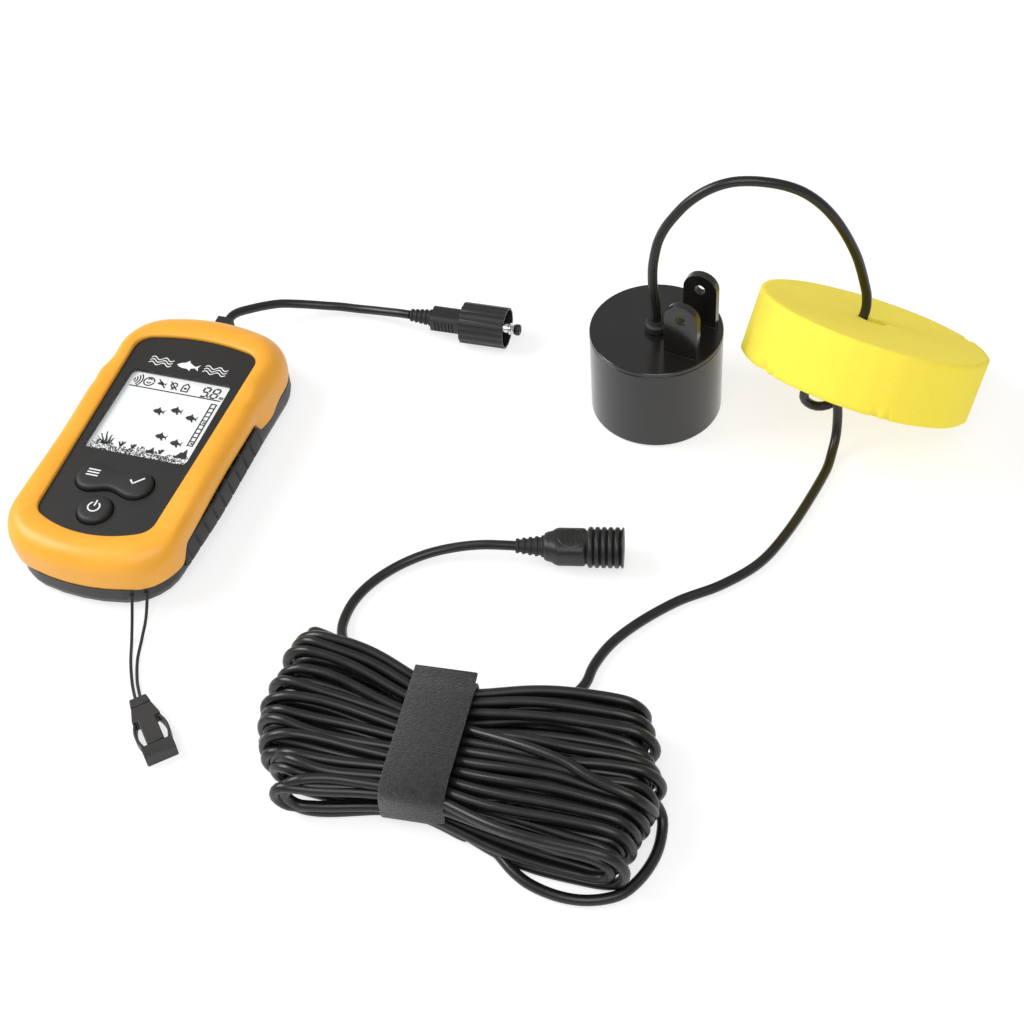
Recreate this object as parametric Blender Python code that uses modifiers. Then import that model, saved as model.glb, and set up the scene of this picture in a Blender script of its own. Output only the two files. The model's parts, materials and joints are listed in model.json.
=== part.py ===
"""A portable wired fish finder, laid out on a table as it comes out of its pouch.

Units are metres and +Z is up. The origin is the centre of the handset's flat back, which lies
on the table. The handset's length runs along Y, with its cable end at +Y, and the screen
faces +Z. The transducer, its float, the wound sensor cable, the socket on the cable's end and
the buckle of the lanyard lie around the handset on the same table.
"""

import math

import bmesh
import bpy
import numpy as np
from mathutils import Matrix, Vector

# ---------------------------------------------------------------- clearances
GAP = 0.0003                    # between pieces that touch
RUN = 0.0004                    # round a piece that moves in its neighbour

# ---------------------------------------------------------------- handset
CASE_LENGTH = 0.128
CASE_TOP_WIDTH = 0.067          # across the cable end
CASE_FOOT_WIDTH = 0.061         # across the lanyard end
CASE_THICKNESS = 0.0244
CASE_WALL = 0.0034
CASE_CORNER = 0.019             # corner radius in plan
CASE_END_RADIUS = 0.070         # the bowed ends in plan
PARTING_HEIGHT = 0.0100         # where the back shell meets the front shell
FRONT_ROUND = 0.0055            # rounding of the front shell's rim
BACK_ROUND = 0.0050             # rounding of the back shell's rim
FRONT_SKIN = 0.0045             # depth of the front shell's face over its cavity
BACK_SKIN = 0.0030
SEAL_INSET = 0.00225
SEAL_WIDTH = 0.0005
SEAL_DEPTH = 0.0008

PANEL_TOP_WIDTH = 0.0496
PANEL_FOOT_WIDTH = 0.0450
PANEL_TOP_Y = 0.0482
PANEL_FOOT_Y = -0.0517
PANEL_CORNER = 0.0070
PANEL_TOP_RADIUS = 0.080
PANEL_FOOT_RADIUS = 0.042
PANEL_SINK = 0.0014             # the panel lies this far under the rim
PANEL_THICKNESS = 0.0015
PANEL_SEAT = 0.0016             # width of the ledge that carries the panel

SCREEN_WIDTH = 0.0400
SCREEN_HEIGHT = 0.0410
SCREEN_Y = 0.0077
SCREEN_CORNER = 0.0020
LENS_SINK = 0.0003
LENS_THICKNESS = 0.0010
GLASS_BORDER = 0.0008           # the display cell is this much larger than the screen
GLASS_THICKNESS = 0.0020
LIGHT_GUIDE_THICKNESS = 0.0016
BOARD_THICKNESS = 0.0016
BOARD_WIDTH = 0.0390
BOARD_LENGTH = 0.0900
BUZZER_RADIUS = 0.0060
BUZZER_HEIGHT = 0.0036
BUZZER_Y = 0.0300

KEY_PROUD = 0.0021              # height of the keys over the panel
KEY_SHOULDER = 0.0008           # width of the lip that keeps a key in
LOBE_RADIUS = 0.0063
LOBE_SPREAD = 0.0084            # from the middle of the double key to each lobe
LOBE_NECK = 0.0042              # half width of the double key's neck
DOUBLE_KEY_X = -0.0006
DOUBLE_KEY_Y = -0.0267
POWER_KEY_RADIUS = 0.0063
POWER_KEY_X = -0.0014
POWER_KEY_Y = -0.0408
KEY_TRAVEL = 0.0005
DOME_RADIUS = 0.0025
DOME_HEIGHT = 0.0006
STEM_RADIUS = 0.0016
KEY_ROUND = 0.0009

BATTERY_RADIUS = 0.00525
BATTERY_LENGTH = 0.0445
BATTERY_COUNT = 4
BATTERY_PITCH = 2 * BATTERY_RADIUS + GAP
BAY_Y = -0.0190                 # middle of the battery bay
BAY_WALL = 0.0012
CONTACT_THICKNESS = 0.0006
CONTACT_SPACE = 0.0020          # room for a contact at each end of the batteries
DOOR_THICKNESS = 0.0016
DOOR_TRAVEL = 0.012

GRIP_DEPTH = 0.0015
GRIP_PROUD = 0.0005
GRIP_LOW = 0.0052
GRIP_HIGH = 0.0180
GRIP_TOP_Y = 0.0150
GRIP_FOOT_Y = -0.0400
GRIP_GROOVES = 8
GRIP_GROOVE_PITCH = 0.0068
GRIP_GROOVE_WIDTH = 0.0009
GRIP_GROOVE_DEPTH = 0.0007

SCREW_HEAD_RADIUS = 0.0024
SCREW_HEAD_HEIGHT = 0.0016
SCREW_RADIUS = 0.0011
SCREW_LENGTH = 0.0115
SCREW_BOSS_RADIUS = 0.0032
SCREW_TOP_PLACE = (0.0235, 0.0490)
SCREW_FOOT_PLACE = (0.0195, -0.0490)      # these two lie under the battery door

GLAND_X = -0.0012
GLAND_HEIGHT = 0.0140
GLAND_SIDE = 0.0062
GLAND_LENGTH = 0.0045
GLAND_NECK_RADIUS = 0.0023

# ---------------------------------------------------------------- cables
CABLE_RADIUS = 0.00175
POINT_SPACING = 0.0090          # between the points of a cable's centre line
CURL_SPACING = 0.0047           # closer, for the small loop under the float
LANYARD_RADIUS = 0.0005
LANYARD_SPACING = 0.0030

# ---------------------------------------------------------------- plug on the short lead
PLUG_START = Vector((0.0648, CASE_LENGTH / 2 + 0.0320, 0.0081))
PLUG_TURN = math.radians(2.0)
NUT_RADIUS = 0.0080
NUT_WALL = 0.0008
NUT_FLUTES = 14
NUT_FLUTE_DEPTH = 0.00045
NUT_LENGTH = 0.0178
NUT_BACK = 0.0018
SLEEVE_LENGTH = 0.0086          # ribbed strain relief
PLUG_BODY_LENGTH = 0.0122
PLUG_BODY_WIDTH = 0.0088
PLUG_BODY_HEIGHT = 0.0078
PLUG_NECK_RADIUS = 0.0034
PLUG_FLANGE_RADIUS = 0.0064
PLUG_FLANGE = 0.0018
PIN_RADIUS = 0.0019
PIN_TIP_RADIUS = 0.0014

# ---------------------------------------------------------------- socket on the sensor cable
SOCKET_START = Vector((0.1402, -0.0073, 0.00755))
SOCKET_TURN = math.radians(12.8)
SOCKET_SLEEVE_LENGTH = 0.0100
SOCKET_BODY_LENGTH = 0.0148
SOCKET_BODY_WIDTH = 0.0126
SOCKET_BODY_HEIGHT = 0.0104
BARREL_RADIUS = NUT_RADIUS - NUT_WALL - 0.00015
BARREL_LENGTH = 0.0126
BARREL_RIDGES = 6
BARREL_RIDGE_DEPTH = 0.0007
SOCKET_BORE = 0.0036
CONTACT_BORE = PIN_RADIUS + 0.0003

# ---------------------------------------------------------------- transducer
SENSOR_PLACE = Vector((0.1680, 0.0805, 0.0))
SENSOR_RADIUS = 0.0242
SENSOR_HEIGHT = 0.0368
SENSOR_WALL = 0.0020
SENSOR_FACE = 0.0030            # thickness of the sounding face
LID_THICKNESS = 0.0014
CRYSTAL_RADIUS = 0.0125
CRYSTAL_THICKNESS = 0.0050
BACKING_THICKNESS = 0.0060
EAR_WIDTH = 0.0126
EAR_HEIGHT = 0.0225
EAR_THICKNESS = 0.0030
EAR_SPAN = 0.0180               # from the middle of one ear to the middle of the other
EAR_OFFSET = Vector((0.0133, -0.0018))
EAR_TURN = math.radians(-8.5)
EAR_HOLE = 0.0020
COLLAR_RADIUS = 0.0042
COLLAR_HEIGHT = 0.0040

# ---------------------------------------------------------------- float
FLOAT_RADIUS = 0.0419
FLOAT_THICKNESS = 0.0232
FLOAT_TILT = math.radians(33.0)
FLOAT_AZIMUTH = math.radians(71.0)
FLOAT_TOP = Vector((0.2433, 0.0961, 0.0425))
FLOAT_CABLE_X = -0.0042         # the cable runs here, in the float's own frame
FLOAT_SLOT_Y = -0.0008
FLOAT_SLOT_LENGTH = 0.0135
FLOAT_SLOT_WIDTH = 0.0072
FLOAT_ROUND = 0.0006

# ---------------------------------------------------------------- wound cable and its strap
HANK_CENTRE = Vector((0.1475, -0.0925))
HANK_LENGTH = 0.131
HANK_WIDTH = 0.060
HANK_WAIST = 0.0525
HANK_HEIGHT = 0.0175
STRAP_WIDTH = 0.0205
STRAP_THICKNESS = 0.0014
STRAP_X = 0.1400
STRAP_TURN = math.radians(5.5)

# ---------------------------------------------------------------- buckle of the lanyard
BUCKLE_START = Vector((0.0382, -CASE_LENGTH / 2 - 0.0344, 0.0))
BUCKLE_TURN = math.radians(-46.5)
BUCKLE_THICKNESS = 0.0050
BUCKLE_LENGTH = 0.0247
BUCKLE_WIDTH = 0.0098
BUCKLE_TONGUE = 0.0054
FERRULE_LENGTH = 0.0034
BUCKLE_MALE_END = 0.0094
BUCKLE_BAR_START = 0.0198
ARM_THICKNESS = 0.0011
ARM_BULGE = 0.0022
LANYARD_ANGLE = math.radians(-60)
LANYARD_SPREAD = 0.0026
LANYARD_HEIGHT = 0.0070
# the two strands' points, measured from the middle of the case's foot end
LANYARD_LEFT = (
    (0.0351, -0.0319, 0.0016), (0.0318, -0.0272, 0.0008), (0.0275, -0.0195, 0.0006),
    (0.0240, -0.0115, 0.0008), (0.0214, -0.0045, 0.0032),
)
LANYARD_RIGHT = (
    (0.0258, -0.0028, 0.0032), (0.0269, -0.0095, 0.0008), (0.0293, -0.0180, 0.0006),
    (0.0330, -0.0258, 0.0008), (0.0364, -0.0308, 0.0016),
)

# ---------------------------------------------------------------- cable routes, by hand
# the lead is measured from the middle of the case's cable end
LEAD_ROUTE = (
    (-0.0012, 0.0056, 0.0140), (-0.0010, 0.0090, 0.0139), (0.0004, 0.0125, 0.0132),
    (0.0032, 0.0165, 0.0119), (0.0072, 0.0215, 0.0101), (0.0117, 0.0258, 0.0084),
    (0.0170, 0.0288, 0.0068), (0.0225, 0.0311, 0.0055), (0.0280, 0.0328, 0.0046),
    (0.0335, 0.0340, 0.0042), (0.0410, 0.0344, 0.0043), (0.0484, 0.0341, 0.0052),
    (0.0550, 0.0331, 0.0066), (0.0600, 0.0323, 0.0077), (0.0645, 0.0320, 0.0081),
)
ARCH_ROUTE = (
    (0.1680, 0.0805, 0.0414), (0.1678, 0.0804, 0.0470), (0.1669, 0.0802, 0.0560),
    (0.1670, 0.0802, 0.0670), (0.1696, 0.0809, 0.0798), (0.1760, 0.0826, 0.0905),
    (0.1822, 0.0842, 0.0968), (0.1902, 0.0863, 0.1010), (0.1991, 0.0886, 0.1017),
    (0.2090, 0.0912, 0.0997), (0.2163, 0.0931, 0.0960), (0.2231, 0.0949, 0.0894),
    (0.2291, 0.0965, 0.0803), (0.2346, 0.0979, 0.0684), (0.2378, 0.0988, 0.0573),
    (0.2394, 0.0988, 0.0507),
)
CURL_CENTRE = Vector((0.22795, 0.0802, 0.0173))
CURL_RADIUS = 0.0071
CURL_PITCH = 0.0040             # the loop under the float moves this far towards -Y
CURL_RIGHT = Vector((0.993, 0.117, 0.0))
RUN_ROUTE = (
    (0.2362, 0.0757, 0.0125), (0.2368, 0.0735, 0.0082), (0.2367, 0.0706, 0.0047),
    (0.2365, 0.0662, 0.0026), (0.2363, 0.0610, 0.0019), (0.2340, 0.0485, 0.0018),
    (0.2290, 0.0283, 0.0018), (0.2223, 0.0110, 0.0018), (0.2114, -0.0023, 0.0018),
    (0.1997, -0.0120, 0.0018), (0.1891, -0.0243, 0.0018), (0.1819, -0.0362, 0.0018),
    (0.1787, -0.0468, 0.0018), (0.1789, -0.0545, 0.0018), (0.1797, -0.0595, 0.0018), (0.1802, -0.0633, 0.0018),
)
LOOP_ROUTE = (
    (0.1640, -0.1236, 0.0019), (0.1658, -0.1257, 0.0019), (0.1696, -0.1274, 0.0019),
    (0.1750, -0.1287, 0.0018), (0.1820, -0.1297, 0.0018),
    (0.1915, -0.1301, 0.0018), (0.2007, -0.1290, 0.0018), (0.2090, -0.1248, 0.0018),
    (0.2142, -0.1184, 0.0018), (0.2164, -0.1100, 0.0018), (0.2165, -0.1040, 0.0018),
    (0.2161, -0.0990, 0.0018), (0.2148, -0.0950, 0.0018),
)
TAIL_ROUTE = (
    (0.0943, -0.0685, 0.0019), (0.0936, -0.0622, 0.0019), (0.0926, -0.0560, 0.0018), (0.0917, -0.0468, 0.0018),
    (0.0926, -0.0380, 0.0018), (0.0963, -0.0293, 0.0019), (0.1027, -0.0209, 0.0023),
    (0.1112, -0.0144, 0.0034), (0.1210, -0.0104, 0.0050), (0.1305, -0.0085, 0.0067),
    (0.1399, -0.0074, 0.0075),
)

parts = bpy.data.collections.new("fish_finder")
cutters = bpy.data.collections.new("cutters")


# ================================================================ materials

def new_material(name, colour, roughness, metallic=0.0):
    material = bpy.data.materials.new(name)
    material.use_nodes = True
    shader = material.node_tree.nodes["Principled BSDF"]
    shader.inputs["Base Color"].default_value = (*colour, 1.0)
    shader.inputs["Roughness"].default_value = roughness
    shader.inputs["Metallic"].default_value = metallic
    return material


MATERIALS = {}


def define_materials():
    table = {
        "orange_plastic": ((0.93, 0.42, 0.03), 0.38, 0.0),
        "charcoal_plastic": ((0.035, 0.031, 0.029), 0.55, 0.0),
        "black_plastic": ((0.045, 0.042, 0.042), 0.50, 0.0),
        "black_rubber": ((0.025, 0.024, 0.024), 0.75, 0.0),
        "key_rubber": ((0.022, 0.021, 0.021), 0.60, 0.0),
        "gloss_black": ((0.020, 0.018, 0.017), 0.18, 0.0),
        "cable_jacket": ((0.028, 0.025, 0.022), 0.42, 0.0),
        "clear_window": ((0.92, 0.94, 0.95), 0.05, 0.0),
        "display": ((0.86, 0.88, 0.87), 0.30, 0.0),
        "light_guide": ((0.90, 0.92, 0.95), 0.35, 0.0),
        "circuit_board": ((0.02, 0.20, 0.07), 0.45, 0.0),
        "steel": ((0.62, 0.63, 0.65), 0.30, 1.0),
        "battery_wrap": ((0.10, 0.16, 0.36), 0.35, 0.0),
        "chrome": ((0.80, 0.81, 0.83), 0.12, 1.0),
        "brass": ((0.80, 0.60, 0.25), 0.30, 1.0),
        "foam": ((0.98, 0.85, 0.08), 0.85, 0.0),
        "ceramic": ((0.80, 0.74, 0.60), 0.60, 0.0),
        "cork": ((0.42, 0.27, 0.14), 0.90, 0.0),
        "resin": ((0.06, 0.05, 0.05), 0.45, 0.0),
        "strap_fabric": ((0.055, 0.055, 0.058), 0.95, 0.0),
        "cord": ((0.020, 0.020, 0.020), 0.80, 0.0),
        "grey_plastic": ((0.13, 0.12, 0.12), 0.45, 0.0),
    }
    for name, (colour, roughness, metallic) in table.items():
        MATERIALS[name] = new_material(name, colour, roughness, metallic)


# ================================================================ building blocks

def clear_scene():
    for obj in list(bpy.data.objects):
        bpy.data.objects.remove(obj, do_unlink=True)
    bpy.context.scene.collection.children.link(parts)
    bpy.context.scene.collection.children.link(cutters)


def move_to(obj, collection):
    for holder in list(obj.users_collection):
        holder.objects.unlink(obj)
    collection.objects.link(obj)


def as_part(obj, name, material, smooth=True):
    obj.name = name
    obj.data.name = name
    obj.data.materials.clear()
    obj.data.materials.append(MATERIALS[material])
    if smooth and obj.type == "MESH":
        obj.data.shade_smooth()
        obj.data.set_sharp_from_angle(angle=math.radians(35))
    move_to(obj, parts)
    return obj


def as_cutter(obj):
    obj.hide_render = True
    obj.display_type = "WIRE"
    move_to(obj, cutters)
    return obj


def combine(obj, other, operation):
    """Joins, cuts or intersects obj with other, which becomes a cutter."""
    as_cutter(other)
    modifier = obj.modifiers.new(operation.lower(), "BOOLEAN")
    modifier.operation = operation
    modifier.solver = "EXACT"
    modifier.object = other
    return obj


def cut(obj, *others):
    for other in others:
        combine(obj, other, "DIFFERENCE")
    return obj


def join(obj, *others):
    for other in others:
        combine(obj, other, "UNION")
    return obj


def baked(obj):
    """Turns obj into a plain mesh object with its modifiers and its place applied."""
    bpy.context.view_layer.update()
    evaluated = obj.evaluated_get(bpy.context.evaluated_depsgraph_get())
    mesh = bpy.data.meshes.new_from_object(evaluated)
    mesh.transform(obj.matrix_world)
    work = bmesh.new()
    work.from_mesh(mesh)
    bmesh.ops.remove_doubles(work, verts=work.verts, dist=1e-6)
    work.to_mesh(mesh)
    work.free()
    result = bpy.data.objects.new(obj.name, mesh)
    bpy.context.scene.collection.objects.link(result)
    bpy.data.objects.remove(obj, do_unlink=True)
    return result


def box(low, high):
    """A box between two corners, made from a cube primitive with its scale applied."""
    low = Vector(low)
    high = Vector(high)
    bpy.ops.mesh.primitive_cube_add(size=1.0, location=(low + high) / 2)
    obj = bpy.context.object
    size = high - low
    obj.data.transform(Matrix.Diagonal((*size, 1.0)))
    return obj


def cylinder(radius, start, end, sides=32, end_radius=None):
    """A cylinder or a cone between two points."""
    start = Vector(start)
    end = Vector(end)
    axis = end - start
    bpy.ops.mesh.primitive_cone_add(
        vertices=sides,
        radius1=radius,
        radius2=radius if end_radius is None else end_radius,
        depth=axis.length,
        location=(start + end) / 2,
    )
    obj = bpy.context.object
    obj.rotation_mode = "QUATERNION"
    obj.rotation_quaternion = axis.to_track_quat("Z", "Y")
    return obj


def prism(outline, low, high):
    """A flat outline with thickness, from a filled 2D curve made into a mesh."""
    curve = bpy.data.curves.new("outline", "CURVE")
    curve.dimensions = "2D"
    curve.fill_mode = "BOTH"
    curve.extrude = (high - low) / 2
    spline = curve.splines.new("POLY")
    spline.points.add(len(outline) - 1)
    for point, (x, y) in zip(spline.points, outline):
        point.co = (x, y, 0.0, 1.0)
    spline.use_cyclic_u = True
    obj = bpy.data.objects.new("outline", curve)
    bpy.context.scene.collection.objects.link(obj)
    obj.location.z = (low + high) / 2
    return baked(obj)


def round_rim(obj, height, radius, segments=3):
    """Rounds the edges of a prism's face at this height."""
    work = bmesh.new()
    work.from_mesh(obj.data)
    bmesh.ops.dissolve_limit(work, angle_limit=0.01, verts=work.verts, edges=work.edges)
    rim = []
    for edge in work.edges:
        level = all(abs(vert.co.z - height) < 1e-6 for vert in edge.verts)
        if level and edge.calc_face_angle(0.0) > 1.0:
            rim.append(edge)
    bmesh.ops.bevel(work, geom=rim, offset=radius, segments=segments, profile=0.5, affect="EDGES")
    bmesh.ops.triangulate(work, faces=work.faces)
    work.to_mesh(obj.data)
    work.free()
    return obj


def turned(profile, steps=32):
    """A turned piece: a profile of (radius, height) points, top first, swept round Z."""
    mesh = bpy.data.meshes.new("profile")
    vertices = [(radius, 0.0, height) for radius, height in profile]
    edges = [(index, index + 1) for index in range(len(profile) - 1)]
    mesh.from_pydata(vertices, edges, [])
    obj = bpy.data.objects.new("turned", mesh)
    bpy.context.scene.collection.objects.link(obj)
    screw = obj.modifiers.new("screw", "SCREW")
    screw.steps = steps
    screw.render_steps = steps
    screw.use_merge_vertices = True
    screw.merge_threshold = 1e-5
    screw.use_normal_calculate = False
    return baked(obj)


def along(obj, start, turn):
    """Lays a piece that was made along +Z down along +X at start, then turns it about Z."""
    obj.data.transform(Matrix.Rotation(math.pi / 2, 4, "Y"))
    obj.location = start
    obj.rotation_euler = (0.0, 0.0, turn)
    return obj


def smooth_route(points, spacing):
    """Points at even spacing on a centripetal Catmull-Rom curve through the given points."""
    route = [np.array(point, dtype=float) for point in points]
    route.insert(0, 2 * route[0] - route[1])
    route.append(2 * route[-1] - route[-2])
    dense = []
    for index in range(1, len(route) - 2):
        p0, p1, p2, p3 = route[index - 1:index + 3]
        t1 = np.linalg.norm(p1 - p0) ** 0.5
        t2 = t1 + np.linalg.norm(p2 - p1) ** 0.5
        t3 = t2 + np.linalg.norm(p3 - p2) ** 0.5
        for t in np.linspace(t1, t2, 24, endpoint=False):
            a1 = (t1 - t) / t1 * p0 + t / t1 * p1
            a2 = (t2 - t) / (t2 - t1) * p1 + (t - t1) / (t2 - t1) * p2
            a3 = (t3 - t) / (t3 - t2) * p2 + (t - t2) / (t3 - t2) * p3
            b1 = (t2 - t) / t2 * a1 + t / t2 * a2
            b2 = (t3 - t) / (t3 - t1) * a2 + (t - t1) / (t3 - t1) * a3
            dense.append((t2 - t) / (t2 - t1) * b1 + (t - t1) / (t2 - t1) * b2)
    dense.append(route[-2])
    dense = np.array(dense)
    steps = np.linalg.norm(np.diff(dense, axis=0), axis=1)
    distance = np.concatenate([[0.0], np.cumsum(steps)])
    count = max(2, round(distance[-1] / spacing)) + 1
    wanted = np.linspace(0.0, distance[-1], count)
    return np.stack([np.interp(wanted, distance, dense[:, axis]) for axis in range(3)], axis=1)


def tube(points, radius, resolution=2):
    """A cable: a POLY curve with a round bevel and filled caps."""
    curve = bpy.data.curves.new("cable", "CURVE")
    curve.dimensions = "3D"
    curve.bevel_depth = radius
    curve.bevel_resolution = resolution
    curve.use_fill_caps = True
    spline = curve.splines.new("POLY")
    spline.points.add(len(points) - 1)
    for point, place in zip(spline.points, points):
        point.co = (*place, 1.0)
    obj = bpy.data.objects.new("cable", curve)
    bpy.context.scene.collection.objects.link(obj)
    return obj


def arc_points(centre, radius, start, end, steps):
    """Points on an arc about centre, both ends included."""
    angles = np.linspace(start, end, steps + 1)
    return [(centre[0] + radius * math.cos(a), centre[1] + radius * math.sin(a)) for a in angles]


def bowed_end(half_width, end_y, corner, end_radius, corner_steps, end_steps):
    """The right corner, the bowed end and the left corner of an outline, as tangent arcs."""
    lean = math.asin((half_width - corner) / (end_radius - corner))
    centre_x = half_width - corner
    centre_y = end_y - end_radius + (end_radius - corner) * math.cos(lean)
    quarter = math.pi / 2
    right = arc_points((centre_x, centre_y), corner, 0.0, quarter - lean, corner_steps)
    end = arc_points((0.0, end_y - end_radius), end_radius, quarter - lean, quarter + lean, end_steps)
    left = arc_points((-centre_x, centre_y), corner, quarter + lean, math.pi, corner_steps)
    return right + end[1:-1] + left


def case_outline(inset, corner_steps=6, end_steps=4):
    """The handset's outline in plan, drawn in by inset on every side."""
    top = bowed_end(CASE_TOP_WIDTH / 2 - inset, CASE_LENGTH / 2 - inset, CASE_CORNER - inset,
                    CASE_END_RADIUS - inset, corner_steps, end_steps)
    foot = bowed_end(CASE_FOOT_WIDTH / 2 - inset, CASE_LENGTH / 2 - inset, CASE_CORNER - inset,
                     CASE_END_RADIUS - inset, corner_steps, end_steps)
    return top + [(-x, -y) for x, y in foot]


def panel_outline(inset):
    """The dark front panel's outline, drawn in by inset on every side."""
    top = bowed_end(PANEL_TOP_WIDTH / 2 - inset, PANEL_TOP_Y - inset, PANEL_CORNER - inset,
                    PANEL_TOP_RADIUS - inset, 4, 5)
    foot = bowed_end(PANEL_FOOT_WIDTH / 2 - inset, -PANEL_FOOT_Y - inset, PANEL_CORNER - inset,
                     PANEL_FOOT_RADIUS - inset, 4, 6)
    return top + [(-x, -y) for x, y in foot]


def rounded_rectangle(width, height, corner, centre=(0.0, 0.0), steps=3):
    points = []
    for quadrant, (side_x, side_y) in enumerate(((1, 1), (-1, 1), (-1, -1), (1, -1))):
        middle = (centre[0] + side_x * (width / 2 - corner), centre[1] + side_y * (height / 2 - corner))
        start = quadrant * math.pi / 2
        points += arc_points(middle, corner, start, start + math.pi / 2, steps)
    return points


def double_key_outline(inset):
    """Two round lobes joined by a neck; the neck's width follows a cosine between the lobes."""
    radius = LOBE_RADIUS - inset
    neck = LOBE_NECK - inset
    right = arc_points((LOBE_SPREAD, 0.0), radius, -math.pi / 2, math.pi / 2, 10)
    upper = []
    for share in np.linspace(1.0, -1.0, 13)[1:-1]:
        x = LOBE_SPREAD * share
        upper.append((x, neck + (radius - neck) * (1 - math.cos(math.pi * share)) / 2))
    half = right + upper
    whole = half + [(-x, -y) for x, y in half]
    return [(DOUBLE_KEY_X + x, DOUBLE_KEY_Y + y) for x, y in whole]


# ================================================================ levels worked out from the sizes

PANEL_TOP = CASE_THICKNESS - PANEL_SINK
PANEL_BOTTOM = PANEL_TOP - PANEL_THICKNESS
CAVITY_TOP = CASE_THICKNESS - FRONT_SKIN
GLASS_TOP = PANEL_BOTTOM - GAP
LIGHT_GUIDE_TOP = GLASS_TOP - GLASS_THICKNESS - GAP
BOARD_TOP = LIGHT_GUIDE_TOP - LIGHT_GUIDE_THICKNESS - GAP
DOME_BOTTOM = BOARD_TOP + GAP / 3
STEM_BOTTOM = DOME_BOTTOM + DOME_HEIGHT + KEY_TRAVEL + GAP / 3
BATTERY_HEIGHT = DOOR_THICKNESS + 2 * GAP + BATTERY_RADIUS
BAY_HALF_X = BATTERY_COUNT * BATTERY_PITCH / 2 + GAP
BAY_HALF_Y = BATTERY_LENGTH / 2 + CONTACT_SPACE
BAY_TOP = BATTERY_HEIGHT + BATTERY_RADIUS + GAP + BAY_WALL
DOOR_TOP_Y = BAY_Y + BAY_HALF_Y
BEYOND = 0.010                  # how far a cutter runs past what it cuts


def side_x(y):
    """Half the case's width at y, along its straight tapering side."""
    share = y / CASE_LENGTH + 0.5
    return (CASE_FOOT_WIDTH + (CASE_TOP_WIDTH - CASE_FOOT_WIDTH) * share) / 2


# ================================================================ handset

def grip_block(side, grow, depth, outer):
    """The stretch of the case's side wall that a grip fills, between outer and depth inside it."""
    low = GRIP_LOW - grow
    high = GRIP_HIGH + grow
    block = prism(case_outline(-outer), low, high)
    inner = prism(case_outline(depth), low - BEYOND, high + BEYOND)
    window = box((CASE_FOOT_WIDTH / 4, GRIP_FOOT_Y - grow, low - BEYOND),
                 (CASE_TOP_WIDTH, GRIP_TOP_Y + grow, high + BEYOND))
    combine(block, inner, "DIFFERENCE")
    combine(block, window, "INTERSECT")
    solid = baked(block)
    if side < 0:
        solid.data.transform(Matrix.Diagonal((-1.0, 1.0, 1.0, 1.0)))
        solid.data.flip_normals()
    return solid


def make_grip(side, name):
    grip = grip_block(side, 0.0, GRIP_DEPTH, GRIP_PROUD)
    middle = (GRIP_TOP_Y + GRIP_FOOT_Y) / 2
    for index in range(GRIP_GROOVES):
        y = middle + (index - (GRIP_GROOVES - 1) / 2) * GRIP_GROOVE_PITCH
        bottom = side_x(y) + GRIP_PROUD - GRIP_GROOVE_DEPTH
        ends = sorted((side * bottom, side * (bottom + BEYOND)))
        groove = box((ends[0], y - GRIP_GROOVE_WIDTH / 2, GRIP_LOW + 0.0012),
                     (ends[1], y + GRIP_GROOVE_WIDTH / 2, GRIP_HIGH - 0.0012))
        cut(grip, groove)
    as_part(grip, name, "black_rubber")


def screw_sites():
    """Each screw's place and the height of its head's underside."""
    top_x, top_y = SCREW_TOP_PLACE
    foot_x, foot_y = SCREW_FOOT_PLACE
    under_door = DOOR_THICKNESS + 2 * GAP
    return ((top_x, top_y, 2 * GAP), (-top_x, top_y, 2 * GAP),
            (foot_x, foot_y, under_door), (-foot_x, foot_y, under_door))


def lanyard_holes():
    """The two mouths of the lanyard's eye in the case's corner, and the outward direction."""
    centre_x = CASE_FOOT_WIDTH / 2 - CASE_CORNER
    lean = math.asin(centre_x / (CASE_END_RADIUS - CASE_CORNER))
    centre_y = -(CASE_LENGTH / 2 - CASE_END_RADIUS + (CASE_END_RADIUS - CASE_CORNER) * math.cos(lean))
    out = Vector((math.cos(LANYARD_ANGLE), math.sin(LANYARD_ANGLE), 0.0))
    side = Vector((-out.y, out.x, 0.0))
    middle = Vector((centre_x, centre_y, LANYARD_HEIGHT)) + out * CASE_CORNER
    return middle - side * LANYARD_SPREAD, middle + side * LANYARD_SPREAD, out


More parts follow.
